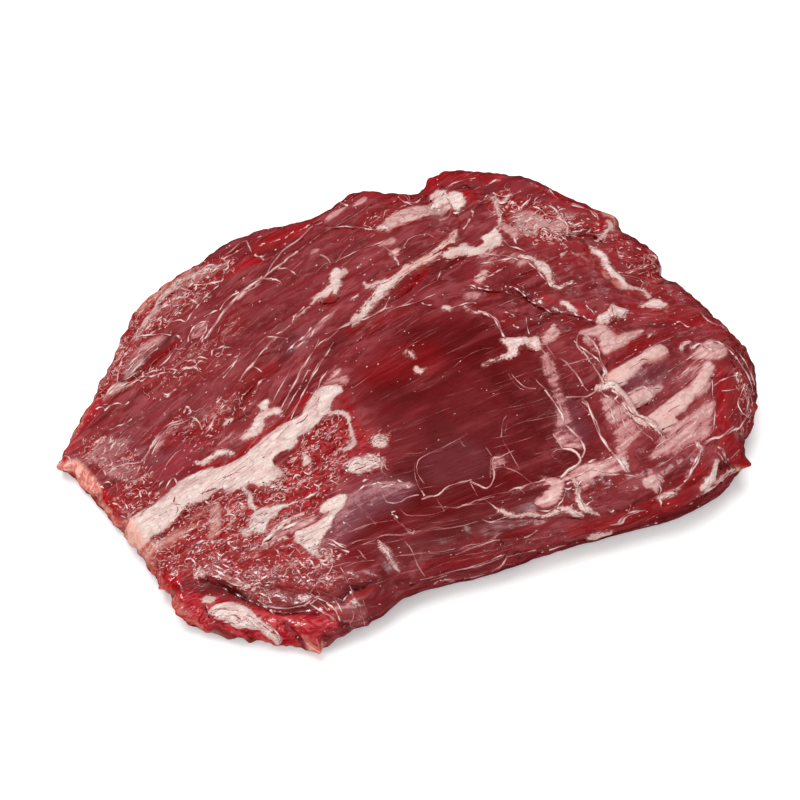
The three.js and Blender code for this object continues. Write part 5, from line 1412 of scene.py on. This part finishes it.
def marks_at(pixels, shown, grain):
    """The marks that colour the surface, at each place."""
    marks = {
        "fat": fat_depth(pixels),
        "veil": gathered(pixels, VEILS, area_depth),
        "cut": gathered(pixels, CUTS, line_depth),
        "wet": gathered(pixels, WETS, line_depth),
        "salmon": gathered(pixels, SALMONS, line_depth),
        "blue": gathered(pixels, BLUES, area_depth),
        "crinkle": gathered(pixels, CRINKLES, line_depth),
        "crease_shade": pits_at(pixels),
    }
    for name in marks:
        hidden = -FAT_REACH if name == "fat" else 0
        marks[name] = hidden + (marks[name] - hidden) * shown
    marks["rough"] = 1 - gathered(pixels, SMOOTHS, area_depth)
    marks["ridge"] = noise_at(grain / BUNDLE_SIZE, 1, 3) + 0.5 * noise_at(grain / FINE_BUNDLE_SIZE, 1, 7)
    return marks


def pulled(pixels, shown):
    """How far the pulled places move, in metres."""
    move = np.zeros((len(pixels), 3))
    for across, down, reach, furthest in PULLS.values():
        gap = np.hypot(pixels[:, 0] - across, pixels[:, 1] - down)
        move += np.array(furthest) * MM * (shown * ease(-gap, -reach, 0))[:, None]
    return move


def make_flank(node):
    """A finer copy of the node, with its relief, that carries the marks for its material."""
    places, outward, faces = fine_surface(node)
    toward = np.array(view.place) - places
    toward /= np.linalg.norm(toward, axis=1)[:, None]
    shown = ease((toward * outward).sum(1), 0.0, FULLY_SHOWN)
    pixels = view.pixels(places)
    grain = grain_coordinates(places)
    marks = marks_at(pixels, shown, grain)
    height = relief(places, pixels, shown, marks, grain)
    height[places[:, 2] < FLOOR_EDGE] = 0
    moved = places + outward * height[:, None] + pulled(pixels, shown)
    moved[:, 2] = np.maximum(moved[:, 2], 0)
    mesh = bpy.data.meshes.new("flank")
    mesh.from_pydata([tuple(place) for place in moved], [], faces)
    mesh.update()
    mesh.shade_smooth()
    mesh.attributes.new("grain", "FLOAT_VECTOR", "POINT").data.foreach_set("vector", grain.ravel())
    for name, values in {**marks, "shown": shown}.items():
        mesh.attributes.new(name, "FLOAT", "POINT").data.foreach_set("value", values)
    flank = bpy.data.objects.new("flank", mesh)
    scene.collection.objects.link(flank)
    return flank


# Materials
class Field:
    """A socket of a material. Arithmetic on it adds Math nodes."""

    def __init__(self, shade, socket):
        self.shade = shade
        self.socket = socket

    def math(self, operation, *terms):
        """This kind of socket's Math node."""
        kind = "ShaderNodeVectorMath" if self.socket.type == "VECTOR" else "ShaderNodeMath"
        return self.shade.node(kind, {"operation": operation}, list(terms))

    def __add__(self, other):
        return self.math("ADD", self, other)

    def __radd__(self, other):
        return self.math("ADD", other, self)

    def __sub__(self, other):
        return self.math("SUBTRACT", self, other)

    def __rsub__(self, other):
        return self.math("SUBTRACT", other, self)

    def __mul__(self, other):
        return self.math("MULTIPLY", self, other)

    def __rmul__(self, other):
        return self.math("MULTIPLY", other, self)

    def clip(self):
        """The value kept between 0 and 1."""
        return self.math("MINIMUM", self.math("MAXIMUM", self, 0.0), 1.0)

    def ease(self, low, high):
        """0 at low, 1 at high and smooth between them, and low may be the greater one."""
        settings = {"interpolation_type": "SMOOTHSTEP"}
        values = {"Value": self, "From Min": low, "From Max": high}
        return self.shade.node("ShaderNodeMapRange", settings, values)


class Shade:
    """A material and its nodes."""

    def __init__(self, name):
        self.material = bpy.data.materials.new(name)
        self.material.use_nodes = True
        self.tree = self.material.node_tree
        self.tree.nodes.clear()

    def node(self, kind, settings=None, values=None, output=0):
        """Adds a node with its settings and its inputs' values or links, and gives one output."""
        added = self.tree.nodes.new(kind)
        for setting, value in (settings or {}).items():
            setattr(added, setting, value)
        pairs = values.items() if isinstance(values, dict) else enumerate(values or [])
        for key, value in pairs:
            if isinstance(value, Field):
                self.tree.links.new(value.socket, added.inputs[key])
            else:
                added.inputs[key].default_value = value
        return Field(self, added.outputs[output]) if added.outputs else None

    def number(self, name):
        """A mark that the mesh carries."""
        return self.node("ShaderNodeAttribute", {"attribute_name": name}, output=2)

    def vector(self, name):
        """A direction or place that the mesh carries."""
        return self.node("ShaderNodeAttribute", {"attribute_name": name}, output=1)

    def object_place(self):
        return self.node("ShaderNodeTexCoord", output=3)

    def stretch(self, vector, factors):
        return self.node("ShaderNodeVectorMath", {"operation": "MULTIPLY"}, [vector, factors])

    def noise(self, vector, scale, detail=2.0, distortion=0.0, output=0):
        values = {"Vector": vector, "Scale": scale, "Detail": detail, "Distortion": distortion}
        return self.node("ShaderNodeTexNoise", {}, values, output)

    def edges(self, vector, scale):
        """Distance from the edges of irregular cells."""
        settings = {"feature": "DISTANCE_TO_EDGE"}
        return self.node("ShaderNodeTexVoronoi", settings, {"Vector": vector, "Scale": scale})

    def mix(self, factor, first, second):
        """The first colour where the factor is 0 and the second where it is 1."""
        return self.node("ShaderNodeMix", {"data_type": "RGBA"}, {0: factor, 6: first, 7: second}, output=2)

    def finish(self, colour, roughness, height, constants):
        """Ends the material: a glossy surface over the given colour, with relief in millimetres."""
        values = dict(constants)
        values["Base Color"] = colour
        values["Roughness"] = roughness
        if height is not None:
            relief = {"Strength": 1.0, "Distance": MM, "Height": height}
            values["Normal"] = self.node("ShaderNodeBump", {}, relief)
        surface = self.node("ShaderNodeBsdfPrincipled", {}, values)
        self.node("ShaderNodeOutputMaterial", {}, {"Surface": surface})
        return self.material


# What the studio light does to a white surface: how bright it shows, and the sheen on a black one
LIGHT = 1.36
HAZE = 0.011


def colour(red, green, blue):
    """The surface colour that shows as these screen values, 0 to 255, in the studio light."""
    def surface(value):
        share = value / 255
        seen = share / 12.92 if share <= 0.04045 else ((share + 0.055) / 1.055) ** 2.4
        return min(max((seen - HAZE) / LIGHT, 0.002), 0.95)

    return (surface(red), surface(green), surface(blue), 1.0)


DEEP_RED = colour(96, 20, 27)
MUSCLE_RED = colour(138, 42, 48)
SOFT_RED = colour(160, 66, 70)
WET_RED = colour(158, 16, 26)
WET_BRIGHT = colour(196, 42, 50)
CUT_RED = colour(176, 30, 40)
CUT_PINK = colour(206, 72, 78)
CUT_ORANGE = colour(236, 128, 110)
SALMON = colour(240, 132, 116)
SALMON_PALE = colour(252, 186, 166)
VEIL_PINK = colour(178, 92, 96)
VEIL_GREY = colour(206, 144, 142)
VEIL_PALE = colour(238, 196, 189)
BLUE_FILM_AND_REFLECTION = colour(132, 82, 96)
FAT_CREAM = colour(252, 232, 224)
FAT_PINK = colour(238, 198, 190)
FAT_BLUSH = colour(212, 130, 126)
FAT_GREY = colour(206, 166, 160)
# Dark red of the shade painted in cracks, crevices and creases
SHADE_RED = colour(84, 8, 15)
TORN_RED = colour(150, 24, 33)
TORN_PINK = colour(188, 58, 63)

MEAT_GLOSS = {
    "IOR": 1.4,
    "Specular IOR Level": 0.5,
    "Subsurface Weight": 0.10,
    "Subsurface Radius": (1.0, 0.28, 0.2),
    "Subsurface Scale": 1.2 * MM,
}


class BeefShade(Shade):
    """The flank's material. Most methods lay one layer over the colour that they are given."""

    def __init__(self):
        super().__init__("beef_surface")
        self.grain = self.vector("grain")
        self.fat_depth = self.number("fat")
        self.veil = self.number("veil")
        self.cut = self.number("cut")
        self.wet = self.number("wet")
        self.crinkle = self.number("crinkle")
        self.crease_shade = self.number("crease_shade")
        self.ridge = self.number("ridge")
        self.rough = self.number("rough")
        self.blue = self.number("blue")
        self.salmon = self.number("salmon")
        self.shown = self.number("shown")
        self.fibres = self.pattern(along=0.04, scale=0.8, detail=1.0)
        self.fine_fibres = self.pattern(along=0.08, scale=1.7, detail=1.0)
        self.bundles = self.pattern(along=0.10, scale=0.28, detail=2.0)
        self.streaks = self.pattern(along=0.16, scale=0.55, detail=3.0, distortion=0.4)
        self.hidden_streaks = self.pattern(along=0.12, scale=0.22, detail=3.0, distortion=0.5)
        self.patches = self.pattern(along=1.0, scale=0.045, detail=3.0, distortion=0.6)
        self.islands = self.pattern(along=0.35, scale=0.22, detail=3.0, distortion=1.2)
        self.crumbs = self.pattern(along=0.6, scale=0.40, detail=1.0, distortion=1.2)
        self.specks = self.pattern(along=0.6, scale=1.2, detail=1.0, distortion=0.8)
        shift = self.noise(self.grain, 0.22, 4.0, output=1)
        warped = self.grain + self.stretch(shift, (9.0, 6.0, 6.0))
        cells = self.edges(self.stretch(warped, (0.5, 1.0, 1.0)), 0.42)
        long_cells = self.edges(self.stretch(warped, (0.11, 1.0, 1.0)), 0.24)
        self.tops = cells.ease(0.0, 0.2)
        self.lace = cells.ease(0.07, 0.0)
        self.seams = long_cells.ease(0.04, 0.0) * self.specks.ease(0.36, 0.56)

    def pattern(self, along, scale, detail, distortion=0.0):
        """Noise over the fibres' own millimetres, drawn out along them where `along` is small."""
        return self.noise(self.stretch(self.grain, (along, 1.0, 1.0)), scale, detail, distortion)

    def muscle(self):
        """Muscle, from its dark fibres to its lighter bundles, with painted shade in the hollows between
        the bundles.
        """
        fibres, bundles, patches = self.fibres, self.bundles, self.patches
        rough, ridge = self.rough, self.ridge
        lightness = (fibres * 0.32 + self.fine_fibres * 0.22 + bundles * 0.4 + patches * 1.1 - 0.52).clip()
        muscle = self.mix(lightness.ease(0.1, 0.9) * (0.55 + rough * 0.6), DEEP_RED, MUSCLE_RED)
        muscle = self.mix(rough * (0.1 + patches * 0.4), muscle, SOFT_RED)
        # Painted shade in the hollows between the bundles
        muscle = self.mix(bundles.ease(0.46, 0.32) * rough * 0.6, muscle, DEEP_RED)
        muscle = self.mix(bundles.ease(0.54, 0.74) * 0.3, muscle, SOFT_RED)
        muscle = self.mix(self.islands.ease(0.46, 0.64) * rough * 0.5, muscle, VEIL_PINK)
        muscle = self.mix(ridge.ease(0.0, 0.6) * rough * 0.25, muscle, SOFT_RED)
        muscle = self.mix(ridge.ease(-0.15, -0.6) * rough * 0.3, muscle, WET_RED)
        return self.mix(fibres.ease(0.60, 0.70) * bundles.ease(0.46, 0.6) * 0.14, muscle, VEIL_PINK)

    def cut_flesh(self, below):
        flesh = self.mix(self.crumbs.ease(0.38, 0.62), CUT_RED, CUT_PINK)
        flesh = self.mix(self.patches.ease(0.5, 0.7) * 0.3, flesh, CUT_ORANGE)
        return self.mix((self.cut * (0.5 + self.crumbs * 0.8)).clip(), below, flesh)

    def moisture(self, below):
        moist = self.mix(self.fibres.ease(0.35, 0.7), WET_RED, WET_BRIGHT)
        return self.mix((self.wet * (0.6 + self.bundles * 0.7)).clip(), below, moist)

    def film(self, below):
        """Film over the muscle, thicker in streaks along the fibres, with painted shade in narrow crevices
        and a bluish tint that on the front film is a painted reflection.
        """
        veil, seams, specks = self.veil, self.seams, self.specks
        uneven = (self.streaks - 0.5) * 1.7 + (specks - 0.5) * 0.6 + self.ridge * 0.1
        thick = (veil * 1.25 - 0.25 + uneven).clip()
        film = self.mix(thick.ease(0.1, 0.55), VEIL_PINK, VEIL_GREY)
        film = self.mix(thick.ease(0.5, 0.9), film, VEIL_PALE)
        film = self.mix(self.crumbs.ease(0.46, 0.62) * 0.4, film, VEIL_GREY)
        cover = (veil * 0.4 + thick.ease(0.05, 0.6)) * veil.ease(0.02, 0.3)
        surface = self.mix(cover.clip(), below, film)
        surface = self.mix(seams * veil * 0.5, surface, VEIL_PALE)
        # Painted shade of narrow crevices along the grain
        surface = self.mix(seams * self.rough * (0.45 - veil * 0.4), surface, SHADE_RED)
        surface = self.mix(self.lace * specks.ease(0.48, 0.6) * self.crinkle * 0.5, surface, VEIL_PALE)
        # Bluish tint of the film, which on the front film is a painted reflection
        return self.mix(self.blue * (0.1 + self.streaks * 0.8), surface, BLUE_FILM_AND_REFLECTION)

    def torn_film(self, below):
        """Painted shade in the crevices between the lumps, red lumps and pale flakes."""
        torn = self.mix(self.crumbs.ease(0.40, 0.62), TORN_RED, TORN_PINK)
        # Painted shade in the crevices at the lumps' edges
        torn = self.mix(self.tops.ease(0.6, 0.0) * 0.4, torn, SHADE_RED)
        surface = self.mix(self.crinkle * (1 - self.veil * 0.6), below, torn)
        flakes = self.islands.ease(0.57, 0.61) * self.tops.ease(0.25, 0.5) * self.specks.ease(0.36, 0.5)
        return self.mix((flakes * self.crinkle).clip() * 0.9, surface, VEIL_PALE)

    def hidden_sides(self, below):
        """Sides that the camera doesn't see: plain muscle with a few pale streaks."""
        return self.mix((1 - self.shown) * self.hidden_streaks.ease(0.62, 0.72) * 0.5, below, VEIL_PALE)

    def fat_surface(self):
        """The colour of the fat itself."""
        fat = self.mix(self.streaks.ease(0.40, 0.62) * 0.7, FAT_CREAM, FAT_PINK)
        fat = self.mix(self.islands.ease(0.50, 0.64) * 0.55, fat, FAT_GREY)
        fat = self.mix(self.fine_fibres.ease(0.58, 0.68) * 0.35, fat, FAT_BLUSH)
        fat = self.mix(self.lace * self.specks.ease(0.42, 0.6) * 0.5, fat, FAT_BLUSH)
        fat = self.mix(self.fat_depth.ease(2.4, 0.0) * 0.45, fat, FAT_BLUSH)
        return self.mix(self.specks.ease(0.70, 0.76) * 0.6, fat, TORN_RED)

    def ragged_fat(self):
        """Depth inside the fat in pixels, with the ragged edge that it really has."""
        frayed = (self.streaks - 0.5) * 5.0 + (self.crumbs - 0.5) * 5.0 + (self.specks - 0.5) * 3.0
        return self.fat_depth + frayed

    def salmon_flesh(self, below):
        pale_flesh = self.mix(self.crumbs.ease(0.36, 0.62), SALMON, SALMON_PALE)
        return self.mix((self.salmon * (0.35 + self.crumbs * 1.1)).clip(), below, pale_flesh)

    def relief(self, fat):
        """Height of the fine relief, in millimetres."""
        crinkle, rough, tops = self.crinkle, self.rough, self.tops
        return (
            self.fibres * 0.10
            + self.bundles * (rough * 0.5 + crinkle * 0.3)
            + self.crumbs * (crinkle * 0.65 + self.cut * 0.5 + rough * 0.1)
            + tops * (crinkle * 0.22)
            + self.lace * (crinkle * 0.2)
            + self.seams * (rough * 0.1)
            + self.streaks * (self.veil * 0.4)
            + fat * (0.2 + self.streaks * 0.35 + tops * 0.25)
        )

    def made(self):
        """The finished material."""
        surface = self.cut_flesh(self.muscle())
        surface = self.moisture(surface)
        surface = self.film(surface)
        surface = self.torn_film(surface)
        surface = self.hidden_sides(surface)
        # Painted shade in the creases
        surface = self.mix(self.crease_shade * 0.5, surface, SHADE_RED)
        ragged = self.ragged_fat()
        fat = ragged.ease(-0.4, 0.3)
        surface = self.mix(ragged.ease(-1.9, -0.3) * 0.35, surface, FAT_BLUSH)
        surface = self.mix(fat, surface, self.fat_surface())
        surface = self.salmon_flesh(surface)
        wetness = (self.crinkle * 0.8 + self.cut * 0.4 + self.wet * 0.5 + self.rough * 0.25).clip()
        dull = self.fine_fibres * 0.04 + fat * 0.10 + self.salmon * 0.25
        return self.finish(surface, (0.26 - wetness * 0.16 + dull).clip(), self.relief(fat), MEAT_GLOSS)


def strand_material():
    """Pale film and painted highlights, from red to pale by how white a ribbon is, and painted shade where
    that is negative.
    """
    shade = Shade("pale_strands")
    white = shade.number("white")
    mottle = shade.noise(shade.object_place(), 900.0, 3.0, 0.5)
    strength = (white + (mottle * 0.5 - 0.25)).clip()
    tint = shade.mix(strength.ease(0.0, 0.55), MUSCLE_RED, VEIL_GREY)
    tint = shade.mix(strength.ease(0.45, 1.0), tint, FAT_CREAM)
    # Painted shade: the dark red of cracks and of the shadows under lines
    hollow = white.ease(-0.1, -0.6)
    tint = shade.mix(hollow, tint, SHADE_RED)
    return shade.finish(tint, 0.25 + mottle * 0.1 - hollow * 0.17, mottle * 0.12, MEAT_GLOSS)


# Strands, hairs and shreds that lie on the surface
# A ribbon breaks off where the surface jumps this far, or where it faces down by more than this
LONGEST_STEP = 5 * MM
LOWEST_FACING = -0.2
RIM_PALENESS = 0.4
# Direction in which a line's shadow is shifted in the view, across and down
SHADE_SHIFT = np.array((0.15, 0.85))
SHADE_SUNK = 0.05
# The part of the view that the flank fills, in pixels
SPREAD_ACROSS = (60, 760)
SPREAD_DOWN = (175, 650)


def unit_runs(points):
    """Direction of a line at each of its points."""
    run = np.gradient(points[:, :2], axis=0)
    return run / np.maximum(np.hypot(run[:, 0], run[:, 1]), TINY)[:, None]


def one_pixel(angle):
    """Step of one pixel at an angle above the level."""
    return np.array((math.cos(angle), -math.sin(angle)))


def wave(draw, steps, slowest, quickest):
    """A sine along the steps with a random pace, in radians a step, and a random start."""
    return np.sin(steps * draw.uniform(slowest, quickest) + draw.uniform(0, 6))


def random_pixels(draw, count):
    """Places spread over the view of the flank."""
    return np.column_stack((draw.uniform(*SPREAD_ACROSS, count), draw.uniform(*SPREAD_DOWN, count)))


class Draper:
    """Lays ribbons on the flank along lines in the view, and joins them into one mesh."""

    def __init__(self, carrier):
        mesh = carrier.data
        places = [vertex.co.copy() for vertex in mesh.vertices]
        self.tree = BVHTree.FromPolygons(places, [tuple(face.vertices) for face in mesh.polygons])
        self.places = []
        self.faces = []
        self.white = []

    def row(self, point, run, height, sunk):
        """Both rims and the ridge of a ribbon at one point, or nothing where it can't lie."""
        across, down, half = point
        made = []
        for side, lift in ((-1, -sunk), (0, height * half * PIXEL_AT_AIM / MM), (1, -sunk)):
            ray = view.ray(across - side * run[1] * half, down + side * run[0] * half)
            place, outward, _, _ = self.tree.ray_cast(view.place, ray)
            if place is None or outward.z < LOWEST_FACING:
                return None
            made.append(place + outward * lift * MM)
        return made

    def ribbon(self, points, whites, height, sunk):
        """A domed ribbon along points of (across, down, half width), all in pixels.

        Its ridge rises by `height` of its half width, and its rims are sunk by so many millimetres.
        """
        last = None
        for point, run, white in zip(points, unit_runs(points), np.broadcast_to(whites, len(points))):
            row = self.row(point, run, height, sunk)
            if row and last and (row[1] - last[1]).length > LONGEST_STEP:
                row = None
            if row:
                start = len(self.places)
                self.places.extend(row)
                self.white.extend((white * RIM_PALENESS, white, white * RIM_PALENESS))
                if last:
                    self.faces.append((start - 3, start - 2, start + 1, start))
                    self.faces.append((start - 2, start - 1, start + 2, start + 1))
            last = row

    def shadow(self, points, narrowest, white, height):
        """A darker ribbon just below a line in the view."""
        lowered = points.copy()
        lowered[:, :2] += SHADE_SHIFT * points[:, 2:].clip(narrowest)
        self.ribbon(lowered, white, height, SHADE_SUNK)

    def made(self, name, material):
        """All the ribbons as one piece."""
        mesh = bpy.data.meshes.new(name)
        mesh.from_pydata(self.places, [], self.faces)
        mesh.attributes.new("white", "FLOAT", "POINT").data.foreach_set("value", self.white)
        loose = bmesh.new()
        loose.from_mesh(mesh)
        bmesh.ops.delete(loose, geom=[v for v in loose.verts if not v.link_faces], context="VERTS")
        loose.to_mesh(mesh)
        loose.free()
        mesh.shade_smooth()
        mesh.materials.append(material)
        piece = bpy.data.objects.new(name, mesh)
        scene.collection.objects.link(piece)
        return piece


EDGE_SEED = 3
GLEAM_UNREST = 0.22


def add_edges(carrier, material):
    """Painted highlights along the traced wrinkles, each with a painted shadow under it, painted shade in
    the cracks, and red marks in the fat.
    """
    draper = Draper(carrier)
    # Painted shade: dark ribbons along the cracks and under edges
    for _, points in CRACK_SHADES:
        draper.ribbon(curve(points, steps=4), -1.0, height=0.02, sunk=0.06)
    for _, points in BLUSHES:
        draper.ribbon(curve(points, steps=4), 0.0, height=0.10, sunk=0.02)
    draw = np.random.default_rng(EDGE_SEED)
    for _, points in PAINTED_GLEAMS:
        made = curve(points, steps=4)
        swell = wave(draw, np.arange(len(made)), 0.5, 1.1)
        made[:, 2] *= 0.75 + 0.3 * swell
        made[:, :2] += draw.normal(0, GLEAM_UNREST, (len(made), 2))
        # A painted shadow just below each painted highlight
        draper.shadow(made, narrowest=0.9, white=-0.8, height=0.03)
        whites = 0.62 + 0.38 * swell + draw.uniform(-0.1, 0.2)
        draper.ribbon(made, whites, height=0.6, sunk=0.03)
    return draper.made("edges", material)


THREAD_SEED = 6
THREADS_PER_PIXEL = 1.2
THREAD_HALF = (0.26, 0.5)
THREAD_UNREST = 0.18
WANDER = 0.55
SMALL_WANDER = 0.3


def add_strands(carrier, material):
    """Each strand is a faint ribbon with a few fine threads wandering along it, and a painted shadow below
    it.
    """
    draw = np.random.default_rng(THREAD_SEED)
    draper = Draper(carrier)
    for _, points in STRANDS:
        made = curve(points, steps=4)
        steps = np.arange(len(made))
        run = unit_runs(made)
        sideways = np.column_stack((-run[:, 1], run[:, 0]))
        wander = WANDER * wave(draw, steps, 0.2, 0.4)
        wander += SMALL_WANDER * wave(draw, steps, 0.5, 0.9)
        made[:, :2] += sideways * wander[:, None]
        # A painted shadow just below the strand
        draper.shadow(made, narrowest=0.7, white=-0.3, height=0.02)
        bed = made * (1, 1, 1.15)
        draper.ribbon(bed, 0.30 + 0.1 * np.sin(steps * 0.7), height=0.10, sunk=0.10)
        swell = wave(draw, steps, 0.35, 0.8)
        core = made.copy()
        core[:, 2] *= 0.55 + 0.2 * swell
        core[:, :2] += draw.normal(0, THREAD_UNREST, (len(made), 2))
        whites = 0.08 + 0.42 * made[:, 2] + 0.2 * swell
        draper.ribbon(core, np.clip(whites, 0.05, 1), height=0.6, sunk=0.02)
        for _ in range(int(made[:, 2].mean() * THREADS_PER_PIXEL)):
            sway = draw.uniform(-0.75, 0.75) + 0.45 * wave(draw, steps, 0.2, 0.5)
            thread = made.copy()
            thread[:, :2] += sideways * (sway * made[:, 2])[:, None]
            thread[:, 2] = draw.uniform(*THREAD_HALF)
            whites = 0.42 + 0.36 * wave(draw, steps, 0.25, 0.7)
            draper.ribbon(thread, np.clip(whites, 0, 1), height=0.5, sunk=0.02)
    return draper.made("strands", material)


HAIRS = 700
HAIR_SEED = 4
HAIR_LENGTH = (14, 80)
HAIR_HALF = (0.14, 0.34)
HAIR_WHITE = (0.1, 0.65)
HAIR_STEP = 2.5
HAIR_SWAY = 0.13


def add_hairs(carrier, material):
    """Thin pale fibres that follow the grain."""
    draw = np.random.default_rng(HAIR_SEED)
    draper = Draper(carrier)
    for place in random_pixels(draw, HAIRS):
        length = draw.uniform(*HAIR_LENGTH)
        half = draw.uniform(*HAIR_HALF)
        white = draw.uniform(*HAIR_WHITE)
        steps = max(int(length / HAIR_STEP), 3)
        whites = white * (0.6 + 0.4 * wave(draw, np.arange(steps + 1), 0.2, 0.9))
        sway = draw.normal(0, HAIR_SWAY)
        points = []
        for share in np.arange(steps + 1) / steps:
            points.append((*place, half * math.sqrt(max(1 - (2 * share - 1) ** 2, 0.02))))
            angle = grain_angle(place[None])[0] + sway * math.sin(share * 5)
            place = place + one_pixel(angle) * length / steps
        draper.ribbon(np.array(points), whites, height=0.3, sunk=0.02)
    return draper.made("hairs", material)


CURL_SEED = 9
CURL_STEP = 0.9
CURL_TRIES = 90000
CURL_CHANCE = 0.5
CURL_TURN = 0.5
# Number, steps, half width, bend in radians a step, wobble, paleness and height of each kind of wrinkle
CURL_KINDS = {
    "crescents": (1000, (3, 7), (0.35, 0.65), (0.12, 0.5), 0.05, (0.45, 1.1), 0.8),
    "squiggles": (450, (8, 20), (0.2, 0.4), (0.0, 0.2), 0.35, (0.35, 0.95), 0.5),
    "flakes": (150, (3, 8), (0.6, 1.3), (0.0, 0.2), 0.1, (0.4, 0.95), 0.3),
}


def curl_path(draw, place, steps, bend, wobble):
    """A short line that starts along the fibres and bends away from them."""
    heading = grain_angle(place[None])[0] + draw.normal(0, CURL_TURN)
    bend = draw.uniform(*bend) * draw.choice((-1, 1))
    heading -= bend * steps / 2
    path = [place]
    for turn in bend + wobble * wave(draw, np.arange(steps), 0.3, 0.8):
        heading += turn * CURL_STEP
        path.append(path[-1] + one_pixel(heading) * CURL_STEP)
    return np.array(path)


def add_curls(carrier, material):
    """Wrinkles of torn film in the rough places: a pale line, partly a painted highlight, with a painted
    shadow under it.
    """
    draw = np.random.default_rng(CURL_SEED)
    draper = Draper(carrier)
    places = random_pixels(draw, CURL_TRIES)
    weight = gathered(places, CRINKLES, line_depth)
    places = places[draw.uniform(0, 1, len(places)) < weight * CURL_CHANCE]
    used = 0
    for count, steps, halves, bend, wobble, pale, height in CURL_KINDS.values():
        for place in places[used:used + count]:
            path = curl_path(draw, place, int(draw.integers(*steps)), bend, wobble)
            share = np.linspace(0, 1, len(path))
            taper = np.sqrt(np.sin(np.pi * np.clip(share, 0.05, 0.95)))
            half = draw.uniform(*halves)
            shadow = np.column_stack((path + SHADE_SHIFT, 1.1 * half * taper))
            draper.ribbon(shadow, -1.0, height=0.03, sunk=SHADE_SUNK)
            line = np.column_stack((path, half * taper))
            draper.ribbon(line, draw.uniform(*pale) * (0.5 + 0.5 * taper), height, sunk=0.03)
        used += count
    return draper.made("curls", material)


DOTS = 1700
DOT_SEED = 12
DOT_TRIES = 30000
DOT_HALF = 0.28
DOT_SPREAD = 0.45
DOT_RUN = (0.4, 1.1)
DOT_CHANCE = 0.05
# Added to the chance of a bead on smooth and on rough places
SMOOTH_CHANCE = -0.038
ROUGH_CHANCE = 0.2


def add_glint_dots(carrier, material):
    """Painted glints: tiny pale beads that stand for the light on wet bumps, mostly in the rough places."""
    draw = np.random.default_rng(DOT_SEED)
    draper = Draper(carrier)
    places = random_pixels(draw, DOT_TRIES)
    smooth = gathered(places, SMOOTHS, area_depth)
    rough = gathered(places, CRINKLES, line_depth)
    chance = DOT_CHANCE + SMOOTH_CHANCE * smooth + ROUGH_CHANCE * rough
    for place in places[draw.uniform(0, 1, len(places)) < chance][:DOTS]:
        run = one_pixel(grain_angle(place[None])[0]) * draw.uniform(*DOT_RUN)
        half = DOT_HALF + DOT_SPREAD * draw.uniform(0, 1) ** 2
        points = [(*(place - run), half * 0.5), (*place, half), (*(place + run), half * 0.5)]
        draper.ribbon(np.array(points), draw.uniform(0.7, 1.3), height=0.9, sunk=0.02)
    return draper.made("dots", material)


# Floor and light
FLOOR_GLOW = 0.2
SKY = 0.5
DAYLIGHT = 2.5
DAYLIGHT_FROM = (-0.18, 0.32, 1)
DAYLIGHT_SPREAD = math.radians(44)
FILL_SPREAD = math.radians(50)
# Light that only fills the near sides: where from, strength
FILLS = {"fill left": ((-0.75, -0.75, 0.5), 1.2), "fill right": ((0.7, -0.8, 0.35), 0.5)}
# Panels that only show as glints: where from, side, power
PANELS = {
    "left": ((-0.56, -0.32, 0.77), 0.28, 12.0),
    "right": ((0.56, -0.32, 0.77), 0.28, 3.0),
    "front": ((0.15, -0.85, 0.60), 0.12, 0.8),
    "back": ((0.32, 0.90, 0.45), 0.08, 0.3),
}


def add_floor():
    """A pale floor that glows a little, as a lit table does."""
    bpy.ops.mesh.primitive_plane_add(size=60, location=(0, 0, 0))
    floor = bpy.context.object
    floor.name = "floor"
    shade = Shade("floor")
    grey = shade.noise(shade.object_place(), 3.0)
    tone = shade.mix(grey, (0.86, 0.86, 0.86, 1.0), (0.9, 0.9, 0.9, 1.0))
    glow = {"Emission Color": (1, 1, 1, 1), "Emission Strength": FLOOR_GLOW}
    floor.data.materials.append(shade.finish(tone, 0.9 + grey * 0.05, None, glow))
    floor.visible_glossy = False


def add_lamp(name, kind, toward, power):
    """A lamp that points at the flank from the given direction."""
    data = bpy.data.lights.new(name, kind)
    data.energy = power
    lamp = bpy.data.objects.new(name, data)
    lamp.location = toward
    lamp.rotation_euler = Vector(toward).to_track_quat("Z", "Y").to_euler()
    scene.collection.objects.link(lamp)
    return lamp


def add_soft_sun(name, toward, power, spread):
    """A sun that leaves no glints."""
    sun = add_lamp(name, "SUN", toward, power)
    sun.data.angle = spread
    sun.visible_glossy = False


def add_light():
    """Soft light from all round that leaves no sheen, and small lamps whose glints show on wet places."""
    world = bpy.data.worlds.new("studio")
    scene.world = world
    world.use_nodes = True
    world.node_tree.nodes["Background"].inputs["Color"].default_value = (1, 1, 1, 1)
    world.node_tree.nodes["Background"].inputs["Strength"].default_value = SKY
    world.cycles_visibility.glossy = False
    scene.view_settings.view_transform = "Standard"
    add_soft_sun("daylight", DAYLIGHT_FROM, DAYLIGHT, DAYLIGHT_SPREAD)
    for name, (toward, power) in FILLS.items():
        add_soft_sun(name, toward, power, FILL_SPREAD)
    for name, (toward, side, power) in PANELS.items():
        panel = add_lamp(name, "AREA", toward, power)
        panel.data.size = side
        panel.visible_diffuse = False


view.add_camera()
add_light()
add_floor()
flank = make_flank(frame["nodes"]["beef_flank"])
flank.data.materials.append(BeefShade().made())
strand_shade = strand_material()
pieces = [flank]
for add_piece in (add_strands, add_hairs, add_curls, add_glint_dots, add_edges):
    pieces.append(add_piece(flank, strand_shade))
for piece in pieces:
    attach(piece, "root")
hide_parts("beef_flank")
